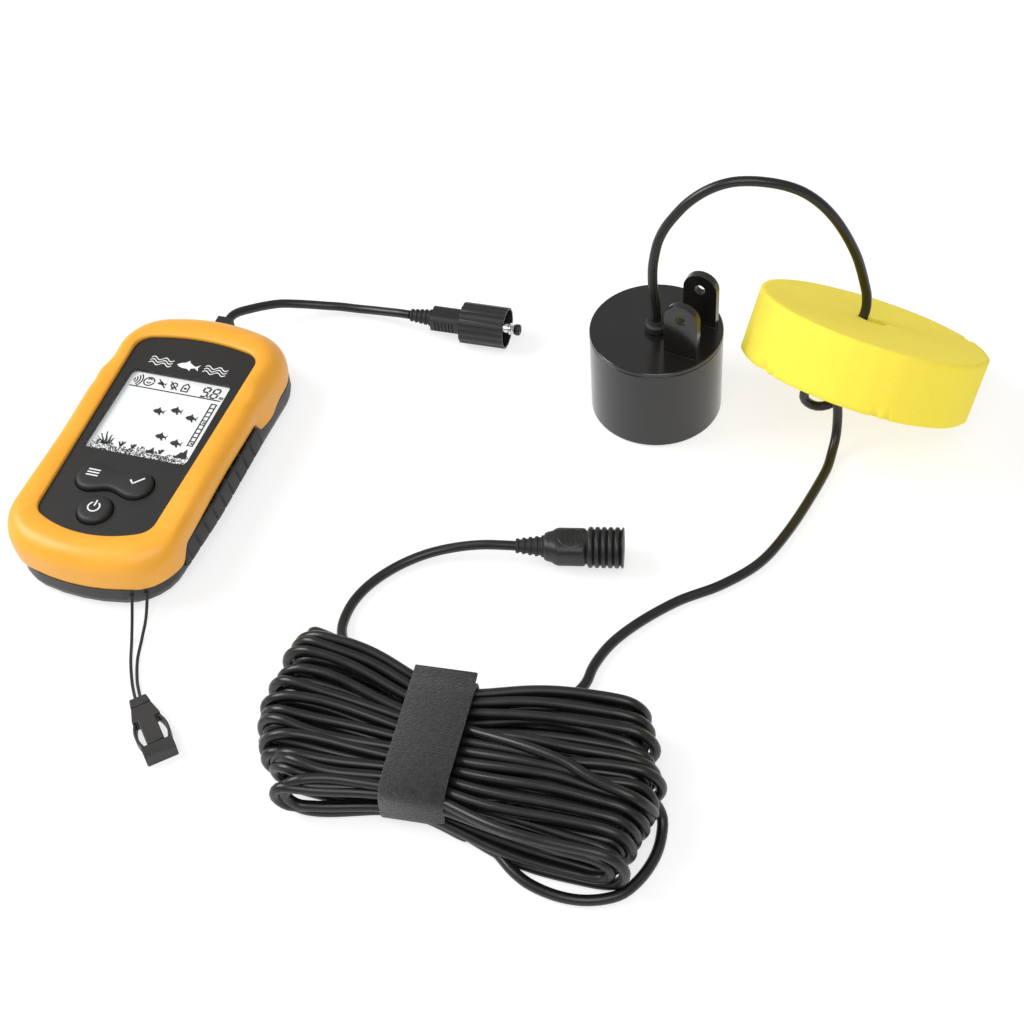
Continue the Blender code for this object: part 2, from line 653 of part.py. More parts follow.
def make_back_shell():
    shell = prism(case_outline(0.0), 0.0, PARTING_HEIGHT)
    round_rim(shell, 0.0, BACK_ROUND)
    cavity = prism(case_outline(CASE_WALL), BACK_SKIN, PARTING_HEIGHT + BEYOND)
    cut(shell, cavity)
    for x, y, head in screw_sites():
        join(shell, cylinder(SCREW_BOSS_RADIUS, (x, y, BACK_SKIN - GAP), (x, y, PARTING_HEIGHT), 20))
        pocket_top = head + SCREW_HEAD_HEIGHT + GAP
        cut(shell, cylinder(SCREW_HEAD_RADIUS + GAP, (x, y, -BEYOND), (x, y, pocket_top), 20),
            cylinder(SCREW_RADIUS + GAP, (x, y, -BEYOND), (x, y, PARTING_HEIGHT + BEYOND), 16))
    channel = box((-BAY_HALF_X - GAP, -CASE_LENGTH, -BEYOND),
                  (BAY_HALF_X + GAP, DOOR_TOP_Y + GAP, DOOR_THICKNESS + GAP))
    opening = box((-BAY_HALF_X, BAY_Y - BAY_HALF_Y, -BEYOND), (BAY_HALF_X, BAY_Y + BAY_HALF_Y, BACK_SKIN + GAP))
    outer = prism(case_outline(SEAL_INSET - GAP), PARTING_HEIGHT - SEAL_DEPTH, PARTING_HEIGHT + BEYOND)
    inner = prism(case_outline(SEAL_INSET + SEAL_WIDTH + GAP / 2), 0.0, PARTING_HEIGHT + 2 * BEYOND)
    combine(outer, inner, "DIFFERENCE")
    cut(shell, channel, opening, baked(outer))
    for side in (1, -1):
        cut(shell, grip_block(side, GAP, GRIP_DEPTH + GAP, 0.002))
    for mouth in lanyard_holes()[:2]:
        out = lanyard_holes()[2]
        cut(shell, cylinder(LANYARD_RADIUS + GAP, mouth - out * 0.007, mouth + out * 0.004, 12))
    return as_part(baked(shell), "back_shell", "black_plastic")


def make_front_shell():
    bottom = PARTING_HEIGHT + GAP
    shell = prism(case_outline(0.0), bottom, CASE_THICKNESS)
    round_rim(shell, CASE_THICKNESS, FRONT_ROUND, 4)
    cavity = prism(case_outline(CASE_WALL), bottom - BEYOND, CAVITY_TOP)
    seat = prism(panel_outline(PANEL_SEAT), CAVITY_TOP - GAP, CASE_THICKNESS)
    recess = prism(panel_outline(-GAP), PANEL_BOTTOM - GAP, CASE_THICKNESS + BEYOND)
    cut(shell, cavity, seat, recess)
    for x, y, _ in screw_sites():
        join(shell, cylinder(SCREW_BOSS_RADIUS, (x, y, bottom), (x, y, CAVITY_TOP + GAP), 20))
        screw_end = screw_sites()[-1][2] + SCREW_HEAD_HEIGHT + SCREW_LENGTH + GAP
        cut(shell, cylinder(SCREW_RADIUS + GAP, (x, y, 0.0), (x, y, screw_end), 16))
    for side in (1, -1):
        cut(shell, grip_block(side, GAP, GRIP_DEPTH + GAP, 0.002))
    end = CASE_LENGTH / 2
    cut(shell, cylinder(GLAND_NECK_RADIUS + GAP, (GLAND_X, end - CASE_WALL - 0.003, GLAND_HEIGHT),
                        (GLAND_X, end + BEYOND, GLAND_HEIGHT), 20))
    return as_part(baked(shell), "front_shell", "orange_plastic")


def make_case_seal():
    low = PARTING_HEIGHT - SEAL_DEPTH + GAP
    seal = prism(case_outline(SEAL_INSET), low, PARTING_HEIGHT)
    hole = prism(case_outline(SEAL_INSET + SEAL_WIDTH), 0.0, PARTING_HEIGHT + BEYOND)
    cut(seal, hole)
    as_part(seal, "case_seal", "black_rubber")


def make_screws():
    for index, (x, y, head) in enumerate(screw_sites(), start=1):
        profile = (
            (0.0, SCREW_HEAD_HEIGHT + SCREW_LENGTH), (SCREW_RADIUS * 0.4, SCREW_HEAD_HEIGHT + SCREW_LENGTH),
            (SCREW_RADIUS, SCREW_HEAD_HEIGHT + SCREW_LENGTH - 0.0012), (SCREW_RADIUS, SCREW_HEAD_HEIGHT),
            (SCREW_HEAD_RADIUS, SCREW_HEAD_HEIGHT), (SCREW_HEAD_RADIUS, 0.0004),
            (SCREW_HEAD_RADIUS - 0.0004, 0.0), (0.0, 0.0),
        )
        screw = turned(profile, 16)
        screw.location = (x, y, head)
        cut(screw, box((x - 0.0014, y - 0.0003, head - 0.001), (x + 0.0014, y + 0.0003, head + 0.0006)))
        as_part(screw, f"case_screw_{index}", "steel")


def make_battery_door():
    door = prism(case_outline(0.0), 0.0, PARTING_HEIGHT)
    round_rim(door, 0.0, BACK_ROUND)
    window = box((-BAY_HALF_X, -CASE_LENGTH, -BEYOND), (BAY_HALF_X, DOOR_TOP_Y, DOOR_THICKNESS))
    combine(door, window, "INTERSECT")
    for row in range(3):
        y = DOOR_TOP_Y - 0.006 - row * 0.0025
        cut(door, box((-0.006, y - 0.0005, -BEYOND), (0.006, y + 0.0005, 0.0005)))
    as_part(baked(door), "battery_door", "black_plastic")


def make_batteries():
    bay_low = BACK_SKIN + GAP
    bay = box((-BAY_HALF_X - BAY_WALL, BAY_Y - BAY_HALF_Y - BAY_WALL, bay_low),
              (BAY_HALF_X + BAY_WALL, BAY_Y + BAY_HALF_Y + BAY_WALL, BAY_TOP))
    room = box((-BAY_HALF_X, BAY_Y - BAY_HALF_Y, bay_low - BEYOND),
               (BAY_HALF_X, BAY_Y + BAY_HALF_Y, BAY_TOP - BAY_WALL))
    as_part(cut(bay, room), "battery_bay", "black_plastic")
    nipple = 0.0019
    half = BATTERY_LENGTH / 2
    for index in range(BATTERY_COUNT):
        profile = ((0.0, half), (nipple, half), (nipple, half - 0.0010), (BATTERY_RADIUS - 0.0004, half - 0.0010),
                   (BATTERY_RADIUS, half - 0.0015), (BATTERY_RADIUS, -half + 0.0004),
                   (BATTERY_RADIUS - 0.0004, -half), (0.0, -half))
        cell = turned(profile, 20)
        x = (index - (BATTERY_COUNT - 1) / 2) * BATTERY_PITCH
        cell.location = (x, BAY_Y, BATTERY_HEIGHT)
        cell.rotation_euler = (math.pi / 2 if index % 2 else -math.pi / 2, 0.0, 0.0)
        as_part(cell, f"battery_{index + 1}", "battery_wrap")
    for end, name in ((1, "contact_plate_top"), (-1, "contact_plate_foot")):
        y = BAY_Y + end * (half + GAP + CONTACT_THICKNESS / 2)
        plate = box((-BAY_HALF_X + 0.001, y - CONTACT_THICKNESS / 2, BATTERY_HEIGHT - 0.0038),
                    (BAY_HALF_X - 0.001, y + CONTACT_THICKNESS / 2, BATTERY_HEIGHT + 0.0038))
        as_part(plate, name, "steel")


def make_front_panel():
    panel = prism(panel_outline(0.0), PANEL_BOTTOM, PANEL_TOP)
    window = prism(rounded_rectangle(SCREEN_WIDTH + 2 * GAP, SCREEN_HEIGHT + 2 * GAP, SCREEN_CORNER,
                                     (0.0, SCREEN_Y)), PANEL_BOTTOM - BEYOND, PANEL_TOP + BEYOND)
    double_hole = prism(double_key_outline(-RUN), PANEL_BOTTOM - BEYOND, PANEL_TOP + BEYOND)
    power_hole = cylinder(POWER_KEY_RADIUS + RUN, (POWER_KEY_X, POWER_KEY_Y, PANEL_BOTTOM - BEYOND),
                          (POWER_KEY_X, POWER_KEY_Y, PANEL_TOP + BEYOND), 28)
    cut(panel, window, double_hole, power_hole)
    as_part(panel, "front_panel", "charcoal_plastic")


def make_display():
    low = PANEL_TOP - LENS_SINK - LENS_THICKNESS
    lens = prism(rounded_rectangle(SCREEN_WIDTH, SCREEN_HEIGHT, SCREEN_CORNER, (0.0, SCREEN_Y)),
                 low, low + LENS_THICKNESS)
    as_part(lens, "screen_window", "clear_window")
    half_x = SCREEN_WIDTH / 2 + GLASS_BORDER
    half_y = SCREEN_HEIGHT / 2 + GLASS_BORDER
    low_corner = (-half_x, SCREEN_Y - half_y)
    high_corner = (half_x, SCREEN_Y + half_y)
    display = box((*low_corner, GLASS_TOP - GLASS_THICKNESS), (*high_corner, GLASS_TOP))
    as_part(display, "display_cell", "display")
    guide = box((*low_corner, LIGHT_GUIDE_TOP - LIGHT_GUIDE_THICKNESS), (*high_corner, LIGHT_GUIDE_TOP))
    as_part(guide, "light_guide", "light_guide")
    board = box((-BOARD_WIDTH / 2, -BOARD_LENGTH / 2, BOARD_TOP - BOARD_THICKNESS),
                (BOARD_WIDTH / 2, BOARD_LENGTH / 2, BOARD_TOP))
    as_part(board, "main_board", "circuit_board")
    buzzer_top = BOARD_TOP - BOARD_THICKNESS - GAP
    buzzer = turned(((0.0, buzzer_top), (BUZZER_RADIUS, buzzer_top), (BUZZER_RADIUS, buzzer_top - BUZZER_HEIGHT),
                     (0.0012, buzzer_top - BUZZER_HEIGHT), (0.0012, buzzer_top - BUZZER_HEIGHT + 0.0008),
                     (0.0, buzzer_top - BUZZER_HEIGHT + 0.0008)), 24)
    buzzer.location.y = BUZZER_Y
    as_part(buzzer, "buzzer", "black_plastic")


def make_keys():
    top = PANEL_TOP + KEY_PROUD
    tilt_room = 0.0008
    lip_top = PANEL_BOTTOM - tilt_room
    lip_bottom = lip_top - 0.0010
    key = prism(double_key_outline(0.0), lip_bottom, top)
    round_rim(key, top, KEY_ROUND, 2)
    join(key, prism(double_key_outline(-KEY_SHOULDER), lip_bottom - GAP, lip_top))
    for side in (-1, 1):
        x = DOUBLE_KEY_X + side * LOBE_SPREAD
        join(key, cylinder(STEM_RADIUS, (x, DOUBLE_KEY_Y, STEM_BOTTOM), (x, DOUBLE_KEY_Y, lip_top), 12))
    key = baked(key)
    pivot = Vector((DOUBLE_KEY_X, DOUBLE_KEY_Y, lip_bottom))
    key.data.transform(Matrix.Translation(-pivot))
    key.location = pivot
    as_part(key, "setup_enter_key", "key_rubber")

    lip_top = PANEL_BOTTOM - GAP
    place = Vector((POWER_KEY_X, POWER_KEY_Y, 0.0))
    lip = POWER_KEY_RADIUS + KEY_SHOULDER
    power = turned(((0.0, top), (POWER_KEY_RADIUS - KEY_ROUND, top), (POWER_KEY_RADIUS - 0.3 * KEY_ROUND, top - 0.3 * KEY_ROUND),
                    (POWER_KEY_RADIUS, top - KEY_ROUND), (POWER_KEY_RADIUS, lip_top), (lip, lip_top),
                    (lip, lip_bottom), (STEM_RADIUS, lip_bottom), (STEM_RADIUS, STEM_BOTTOM), (0.0, STEM_BOTTOM)), 28)
    power.location = place
    as_part(power, "power_key", "key_rubber")

    dome_places = {
        "setup_switch": (DOUBLE_KEY_X - LOBE_SPREAD, DOUBLE_KEY_Y),
        "enter_switch": (DOUBLE_KEY_X + LOBE_SPREAD, DOUBLE_KEY_Y),
        "power_switch": (POWER_KEY_X, POWER_KEY_Y),
    }
    for name, (x, y) in dome_places.items():
        dome = turned(((0.0, DOME_HEIGHT), (DOME_RADIUS * 0.5, DOME_HEIGHT * 0.85),
                       (DOME_RADIUS, DOME_HEIGHT * 0.3), (DOME_RADIUS, 0.0), (0.0, 0.0)), 16)
        dome.location = (x, y, DOME_BOTTOM)
        as_part(dome, name, "steel")


def make_gland():
    end = CASE_LENGTH / 2
    half = GLAND_SIDE / 2
    gland = box((GLAND_X - half, end + GAP, GLAND_HEIGHT - half),
                (GLAND_X + half, end + GAP + GLAND_LENGTH, GLAND_HEIGHT + half))
    inside = end - CASE_WALL - GAP
    join(gland, cylinder(GLAND_NECK_RADIUS, (GLAND_X, inside - 0.0020, GLAND_HEIGHT),
                         (GLAND_X, end + GLAND_LENGTH / 2, GLAND_HEIGHT), 20),
         cylinder(GLAND_NECK_RADIUS + 0.0008, (GLAND_X, inside - 0.0030, GLAND_HEIGHT),
                  (GLAND_X, inside - 0.0010, GLAND_HEIGHT), 20))
    as_part(baked(gland), "handset_gland", "black_rubber")


# ================================================================ plug and socket

def ribbed_sleeve(length, start_radius, end_radius, ribs):
    """A tapering strain relief whose ribs follow a square wave along its length."""
    profile = []
    for index in range(2 * ribs + 1):
        share = index / (2 * ribs + 1)
        radius = end_radius + (start_radius - end_radius) * (1 - share)
        if index % 2:
            radius -= 0.0005
        profile.append((radius, share))
        profile.append((radius, (index + 1) / (2 * ribs + 1) - 0.02))
    outline = [(0.0, 0.0)] + profile + [(0.0, 1.0 - 0.02)]
    return turned([(radius, length * share) for radius, share in reversed(outline)], 20)


def plug_place(distance):
    return PLUG_START + Vector((math.cos(PLUG_TURN), math.sin(PLUG_TURN), 0.0)) * distance


def socket_place(distance):
    return SOCKET_START + Vector((math.cos(SOCKET_TURN), math.sin(SOCKET_TURN), 0.0)) * distance


def flat_body(length, width, height, corner):
    """A flat-sided moulding along +Z, with round long edges."""
    outline = rounded_rectangle(height, width, corner)
    return prism(outline, 0.0, length)


def make_plug():
    sleeve = ribbed_sleeve(SLEEVE_LENGTH, 0.0025, 0.0034, 4)
    as_part(along(sleeve, plug_place(GAP), PLUG_TURN), "plug_strain_relief", "black_rubber")

    body_start = SLEEVE_LENGTH + 2 * GAP
    nut_start = body_start + PLUG_BODY_LENGTH + GAP
    flange_start = nut_start + NUT_BACK + GAP
    core_end = flange_start + PLUG_FLANGE + 0.0040
    body = flat_body(PLUG_BODY_LENGTH, PLUG_BODY_WIDTH, PLUG_BODY_HEIGHT, 0.0022)
    body.data.transform(Matrix.Translation((0.0, 0.0, body_start)))
    join(body,
         cylinder(PLUG_NECK_RADIUS, (0, 0, body_start + 0.001), (0, 0, core_end), 28),
         cylinder(PLUG_FLANGE_RADIUS, (0, 0, flange_start), (0, 0, flange_start + PLUG_FLANGE), 28))
    for side in (-1, 1):
        for index in range(6):
            z = body_start + 0.0022 + index * 0.0014
            y = side * PLUG_BODY_WIDTH / 2
            cut(body, box((-0.0022, y - 0.0005, z - 0.0003), (0.0022, y + 0.0005, z + 0.0003)))
    cut(body, cylinder(PIN_RADIUS * 0.7 + GAP, (0, 0, core_end - 0.004), (0, 0, core_end + 0.001), 20))
    as_part(along(baked(body), plug_place(0.0), PLUG_TURN), "plug_body", "black_plastic")

    fluted = []
    sides = 4 * NUT_FLUTES
    for index in range(sides):
        radius = NUT_RADIUS - (NUT_FLUTE_DEPTH if index % 4 == 0 else 0.0)
        angle = 2 * math.pi * (index + 2) / sides
        fluted.append((radius * math.cos(angle), radius * math.sin(angle)))
    nut = prism(fluted, nut_start, nut_start + NUT_LENGTH)
    cut(nut,
        cylinder(NUT_RADIUS - NUT_WALL, (0, 0, nut_start + NUT_BACK), (0, 0, nut_start + NUT_LENGTH + 0.002), 40),
        cylinder(PLUG_NECK_RADIUS + RUN, (0, 0, nut_start - 0.002), (0, 0, nut_start + NUT_BACK + 0.001), 28))
    as_part(along(baked(nut), plug_place(0.0), PLUG_TURN), "plug_nut", "black_plastic")

    seal_at = flange_start + PLUG_FLANGE + 0.0013
    bpy.ops.mesh.primitive_torus_add(major_radius=PLUG_NECK_RADIUS + 0.0014, minor_radius=0.0010,
                                     major_segments=24, minor_segments=8)
    seal = bpy.context.object
    seal.data.transform(Matrix.Translation((0.0, 0.0, seal_at)))
    as_part(along(seal, plug_place(0.0), PLUG_TURN), "plug_seal", "black_rubber")

    pin_end = nut_start + NUT_LENGTH + 0.0034
    neck = PIN_RADIUS * 0.7
    pin = turned(((0.0, pin_end), (neck, pin_end), (PIN_RADIUS, pin_end - 0.0006), (PIN_RADIUS, pin_end - 0.0024),
                  (neck, pin_end - 0.0028), (neck, pin_end - 0.0034), (PIN_RADIUS, pin_end - 0.0038),
                  (PIN_RADIUS, core_end + GAP), (neck, core_end + GAP), (neck, core_end - 0.0030),
                  (0.0, core_end - 0.0030)), 20)
    as_part(along(pin, plug_place(0.0), PLUG_TURN), "plug_pin", "chrome")
    tip = turned(((0.0, pin_end + 0.0020), (PIN_TIP_RADIUS * 0.7, pin_end + 0.0019),
                  (PIN_TIP_RADIUS, pin_end + 0.0012), (PIN_TIP_RADIUS, pin_end + GAP), (0.0, pin_end + GAP)), 16)
    as_part(along(tip, plug_place(0.0), PLUG_TURN), "plug_tip", "black_plastic")


def make_socket():
    sleeve = ribbed_sleeve(SOCKET_SLEEVE_LENGTH, 0.0026, 0.0040, 4)
    as_part(along(sleeve, socket_place(GAP), SOCKET_TURN), "socket_strain_relief", "black_rubber")
    start = SOCKET_SLEEVE_LENGTH + 2 * GAP
    barrel_start = start + SOCKET_BODY_LENGTH
    end = barrel_start + BARREL_LENGTH
    body = flat_body(SOCKET_BODY_LENGTH, SOCKET_BODY_WIDTH, SOCKET_BODY_HEIGHT, 0.0034)
    body.data.transform(Matrix.Translation((0.0, 0.0, start)))
    profile = [(0.0, end), (SOCKET_BORE + 0.0016, end), (BARREL_RADIUS - 0.0012, end - 0.0006)]
    pitch = (BARREL_LENGTH - 0.0012) / BARREL_RIDGES
    for index in range(BARREL_RIDGES):
        top = end - 0.0012 - index * pitch
        profile.append((BARREL_RADIUS, top))
        profile.append((BARREL_RADIUS, top - 0.45 * pitch))
        profile.append((BARREL_RADIUS - BARREL_RIDGE_DEPTH, top - 0.6 * pitch))
        profile.append((BARREL_RADIUS - BARREL_RIDGE_DEPTH, top - 0.9 * pitch))
    profile += [(BARREL_RADIUS - BARREL_RIDGE_DEPTH, barrel_start - 0.0005), (0.0, barrel_start - 0.0005)]
    join(body, turned(profile, 28))
    cut(body, cylinder(SOCKET_BORE, (0, 0, barrel_start - 0.002), (0, 0, end + 0.002), 24))
    as_part(along(baked(body), socket_place(0.0), SOCKET_TURN), "socket_body", "black_plastic")
    contact = turned(((CONTACT_BORE, end - 0.0010), (SOCKET_BORE - GAP, end - 0.0010),
                      (SOCKET_BORE - GAP, barrel_start - 0.0015), (0.0, barrel_start - 0.0015),
                      (0.0, barrel_start - 0.0005), (CONTACT_BORE, barrel_start - 0.0005),
                      (CONTACT_BORE, end - 0.0010)), 20)
    as_part(along(contact, socket_place(0.0), SOCKET_TURN), "socket_contact", "brass")


# ================================================================ transducer

def make_transducer():
    lid_bottom = SENSOR_HEIGHT - LID_THICKNESS
    inner = SENSOR_RADIUS - SENSOR_WALL
    rim = lid_bottom - GAP
    cup = turned(((0.0, SENSOR_FACE), (inner, SENSOR_FACE), (inner, rim), (SENSOR_RADIUS, rim),
                  (SENSOR_RADIUS, 0.0010), (SENSOR_RADIUS - 0.0010, 0.0), (0.0, 0.0)), 56)
    cup.location = SENSOR_PLACE
    as_part(cup, "transducer_housing", "gloss_black")

    lid = turned(((0.0, SENSOR_HEIGHT), (SENSOR_RADIUS - 0.0003, SENSOR_HEIGHT),
                  (SENSOR_RADIUS, SENSOR_HEIGHT - 0.0003), (SENSOR_RADIUS, lid_bottom), (0.0, lid_bottom)), 56)
    lid.location = SENSOR_PLACE
    half = EAR_WIDTH / 2
    straight = EAR_HEIGHT - half
    outline = [(-half, -0.0005), (half, -0.0005)] + arc_points((0.0, straight), half, 0.0, math.pi, 12)
    for side in (-1, 1):
        ear = prism(outline, -EAR_THICKNESS / 2, EAR_THICKNESS / 2)
        ear.data.transform(Matrix.Rotation(math.pi / 2, 4, "X"))
        ear.data.transform(Matrix.Translation((0.0, side * EAR_SPAN / 2, SENSOR_HEIGHT)))
        ear.data.transform(Matrix.Rotation(EAR_TURN, 4, "Z"))
        ear.data.transform(Matrix.Translation(SENSOR_PLACE + EAR_OFFSET.to_3d()))
        join(lid, ear)
    across = Vector((-math.sin(EAR_TURN), math.cos(EAR_TURN), 0.0)) * EAR_SPAN
    middle = SENSOR_PLACE + EAR_OFFSET.to_3d() + Vector((0.0, 0.0, SENSOR_HEIGHT + straight))
    neck_hole = cylinder(GLAND_NECK_RADIUS + GAP, SENSOR_PLACE, SENSOR_PLACE + Vector((0, 0, SENSOR_HEIGHT + BEYOND)), 24)
    cut(lid, cylinder(EAR_HOLE, middle - across, middle + across, 20), neck_hole)
    as_part(baked(lid), "transducer_lid", "gloss_black")

    top = SENSOR_HEIGHT + GAP + COLLAR_HEIGHT
    gland = turned(((0.0, top), (COLLAR_RADIUS - 0.0012, top), (COLLAR_RADIUS - 0.0010, top - 0.0012),
                    (COLLAR_RADIUS, top - 0.0016), (COLLAR_RADIUS, SENSOR_HEIGHT + GAP),
                    (GLAND_NECK_RADIUS, SENSOR_HEIGHT + GAP), (GLAND_NECK_RADIUS, lid_bottom - 0.0020),
                    (0.0, lid_bottom - 0.0020)), 28)
    gland.location = SENSOR_PLACE
    as_part(gland, "transducer_gland", "black_rubber")

    crystal_low = SENSOR_FACE + GAP
    crystal_high = crystal_low + CRYSTAL_THICKNESS
    backing_low = crystal_high + GAP
    backing_high = backing_low + BACKING_THICKNESS
    discs = (
        ("piezo_disc", "ceramic", CRYSTAL_RADIUS, crystal_low, crystal_high),
        ("cork_backing", "cork", CRYSTAL_RADIUS + 0.0020, backing_low, backing_high),
        ("potting_resin", "resin", inner - GAP, backing_high + GAP, lid_bottom - 0.0020 - 2 * GAP),
    )
    for name, material, radius, low, high in discs:
        disc = turned(((0.0, high), (radius, high), (radius, low), (0.0, low)), 32)
        disc.location = SENSOR_PLACE
        as_part(disc, name, material)


# ================================================================ float

def float_frame():
    """The float's own frame: the middle of its top face, with +Z out of that face."""
    tilt = Matrix.Rotation(FLOAT_AZIMUTH, 4, "Z") @ Matrix.Rotation(FLOAT_TILT, 4, "Y")
    return Matrix.Translation(FLOAT_TOP) @ tilt @ Matrix.Rotation(-FLOAT_AZIMUTH, 4, "Z")


def make_float():
    """A foam disc with a pointed slot for the cable; its origin lies on the cable's line."""
    edge = FLOAT_ROUND
    disc = turned(((0.0, 0.0), (FLOAT_RADIUS - edge, 0.0), (FLOAT_RADIUS, -edge),
                   (FLOAT_RADIUS, edge - FLOAT_THICKNESS), (FLOAT_RADIUS - edge, -FLOAT_THICKNESS),
                   (0.0, -FLOAT_THICKNESS)), 64)
    half_length = FLOAT_SLOT_LENGTH / 2
    half_width = FLOAT_SLOT_WIDTH / 2
    radius = (half_length ** 2 + half_width ** 2) / (2 * half_width)
    sweep = math.asin(half_length / radius)
    upper = arc_points((0.0, half_width - radius), radius, math.pi / 2 - sweep, math.pi / 2 + sweep, 8)
    outline = upper[:-1] + [(-x, -y) for x, y in upper[:-1]]
    outline = [(x, y + FLOAT_SLOT_Y) for x, y in outline]
    cut(disc, prism(outline, -FLOAT_THICKNESS - 0.002, 0.002))
    disc = baked(disc)
    line = Vector((FLOAT_CABLE_X, FLOAT_SLOT_Y, 0.0))
    disc.data.transform(Matrix.Translation(-line))
    disc.matrix_world = float_frame() @ Matrix.Translation(line)
    as_part(disc, "float", "foam")


# ================================================================ cables

def curl_route():
    """One turn of cable under the float, seen from -Y: down on the right, left, up and over."""
    points = []
    toward = Vector((CURL_RIGHT.y, -CURL_RIGHT.x, 0.0))
    for degrees in range(0, -361, -30):
        angle = math.radians(degrees)
        ring = CURL_RIGHT * math.cos(angle) + Vector((0.0, 0.0, 1.0)) * math.sin(angle)
        points.append(tuple(CURL_CENTRE + ring * CURL_RADIUS + toward * CURL_PITCH * (-degrees / 360)))
    return tuple(points)


def float_route():
    """The cable's straight way through the float, with a little over at both faces."""
    frame = float_frame()
    levels = (0.0032, 0.0, -FLOAT_THICKNESS / 3, -2 * FLOAT_THICKNESS / 3, -FLOAT_THICKNESS, -FLOAT_THICKNESS - 0.0015)
    return tuple(tuple(frame @ Vector((FLOAT_CABLE_X, FLOAT_SLOT_Y, level))) for level in levels)


def make_cables():
    lead_route = [(x, CASE_LENGTH / 2 + y, z) for x, y, z in LEAD_ROUTE]
    sensor_route = ARCH_ROUTE + float_route() + curl_route() + RUN_ROUTE
    routes = (
        ("lead_cable", lead_route),
        ("sensor_cable", sensor_route),
        ("cable_loose_loop", LOOP_ROUTE),
        ("cable_tail", TAIL_ROUTE),
    )
    for name, route in routes:
        spacing = POINT_SPACING
        if name == "sensor_cable":
            spacing = CURL_SPACING
        as_part(tube(smooth_route(route, spacing), CABLE_RADIUS), name, "cable_jacket")


def hank_outline():
    """A long round-ended shape, drawn in to a waist where the strap holds it."""
    points = []
    steps = 40
    for index in range(steps):
        angle = 2 * math.pi * index / steps
        x = HANK_LENGTH / 2 * math.copysign(abs(math.cos(angle)) ** 0.75, math.cos(angle))
        y = HANK_WIDTH / 2 * math.copysign(abs(math.sin(angle)) ** 0.60, math.sin(angle))
        from_strap = (HANK_CENTRE.x + x - STRAP_X) / 0.016
        y *= 1 - (1 - HANK_WAIST / HANK_WIDTH) * math.exp(-from_strap ** 2)
        points.append((HANK_CENTRE.x + x, HANK_CENTRE.y + y))
    return points


def strap_ring(grow):
    """The closed band round the hank's waist; grow thickens it inwards and sideways for a cutter."""
    outer_half = HANK_WAIST / 2 + 0.0008
    outer_high = HANK_HEIGHT + 0.0012
    inner = STRAP_THICKNESS + grow
    middle = outer_high / 2
    outline = rounded_rectangle(outer_high, 2 * outer_half, 0.0055, (-middle, 0.0), 4)
    hole = rounded_rectangle(outer_high - 2 * inner, 2 * (outer_half - inner), 0.0040, (-middle, 0.0), 4)
    half = STRAP_WIDTH / 2 + grow
    if grow > 0.0:
        outline = rounded_rectangle(outer_high + 0.004, 2 * outer_half + 0.004, 0.001, (-middle, 0.0), 1)
    band = prism(outline, -half, half)
    combine(band, prism(hole, -half - BEYOND, half + BEYOND), "DIFFERENCE")
    band = baked(band)
    band.data.transform(Matrix.Rotation(math.pi / 2, 4, "Y"))
    band.data.transform(Matrix.Rotation(STRAP_TURN, 4, "Z"))
    band.data.transform(Matrix.Translation((STRAP_X, HANK_CENTRE.y, 0.0)))
    return band


def make_hank():
    hank = prism(hank_outline(), 0.0, HANK_HEIGHT)
    round_rim(hank, HANK_HEIGHT, 0.0040, 2)
    cut(hank, strap_ring(GAP))
    as_part(baked(hank), "cable_hank", "cable_jacket")
    as_part(strap_ring(0.0), "hank_strap", "strap_fabric")


# ================================================================ lanyard and buckle

def buckle_matrix():
    return Matrix.Translation(BUCKLE_START) @ Matrix.Rotation(BUCKLE_TURN, 4, "Z")


def buckle_piece(outline, low, high):
    piece = prism(outline, low, high)
    piece.data.transform(buckle_matrix())
    return piece


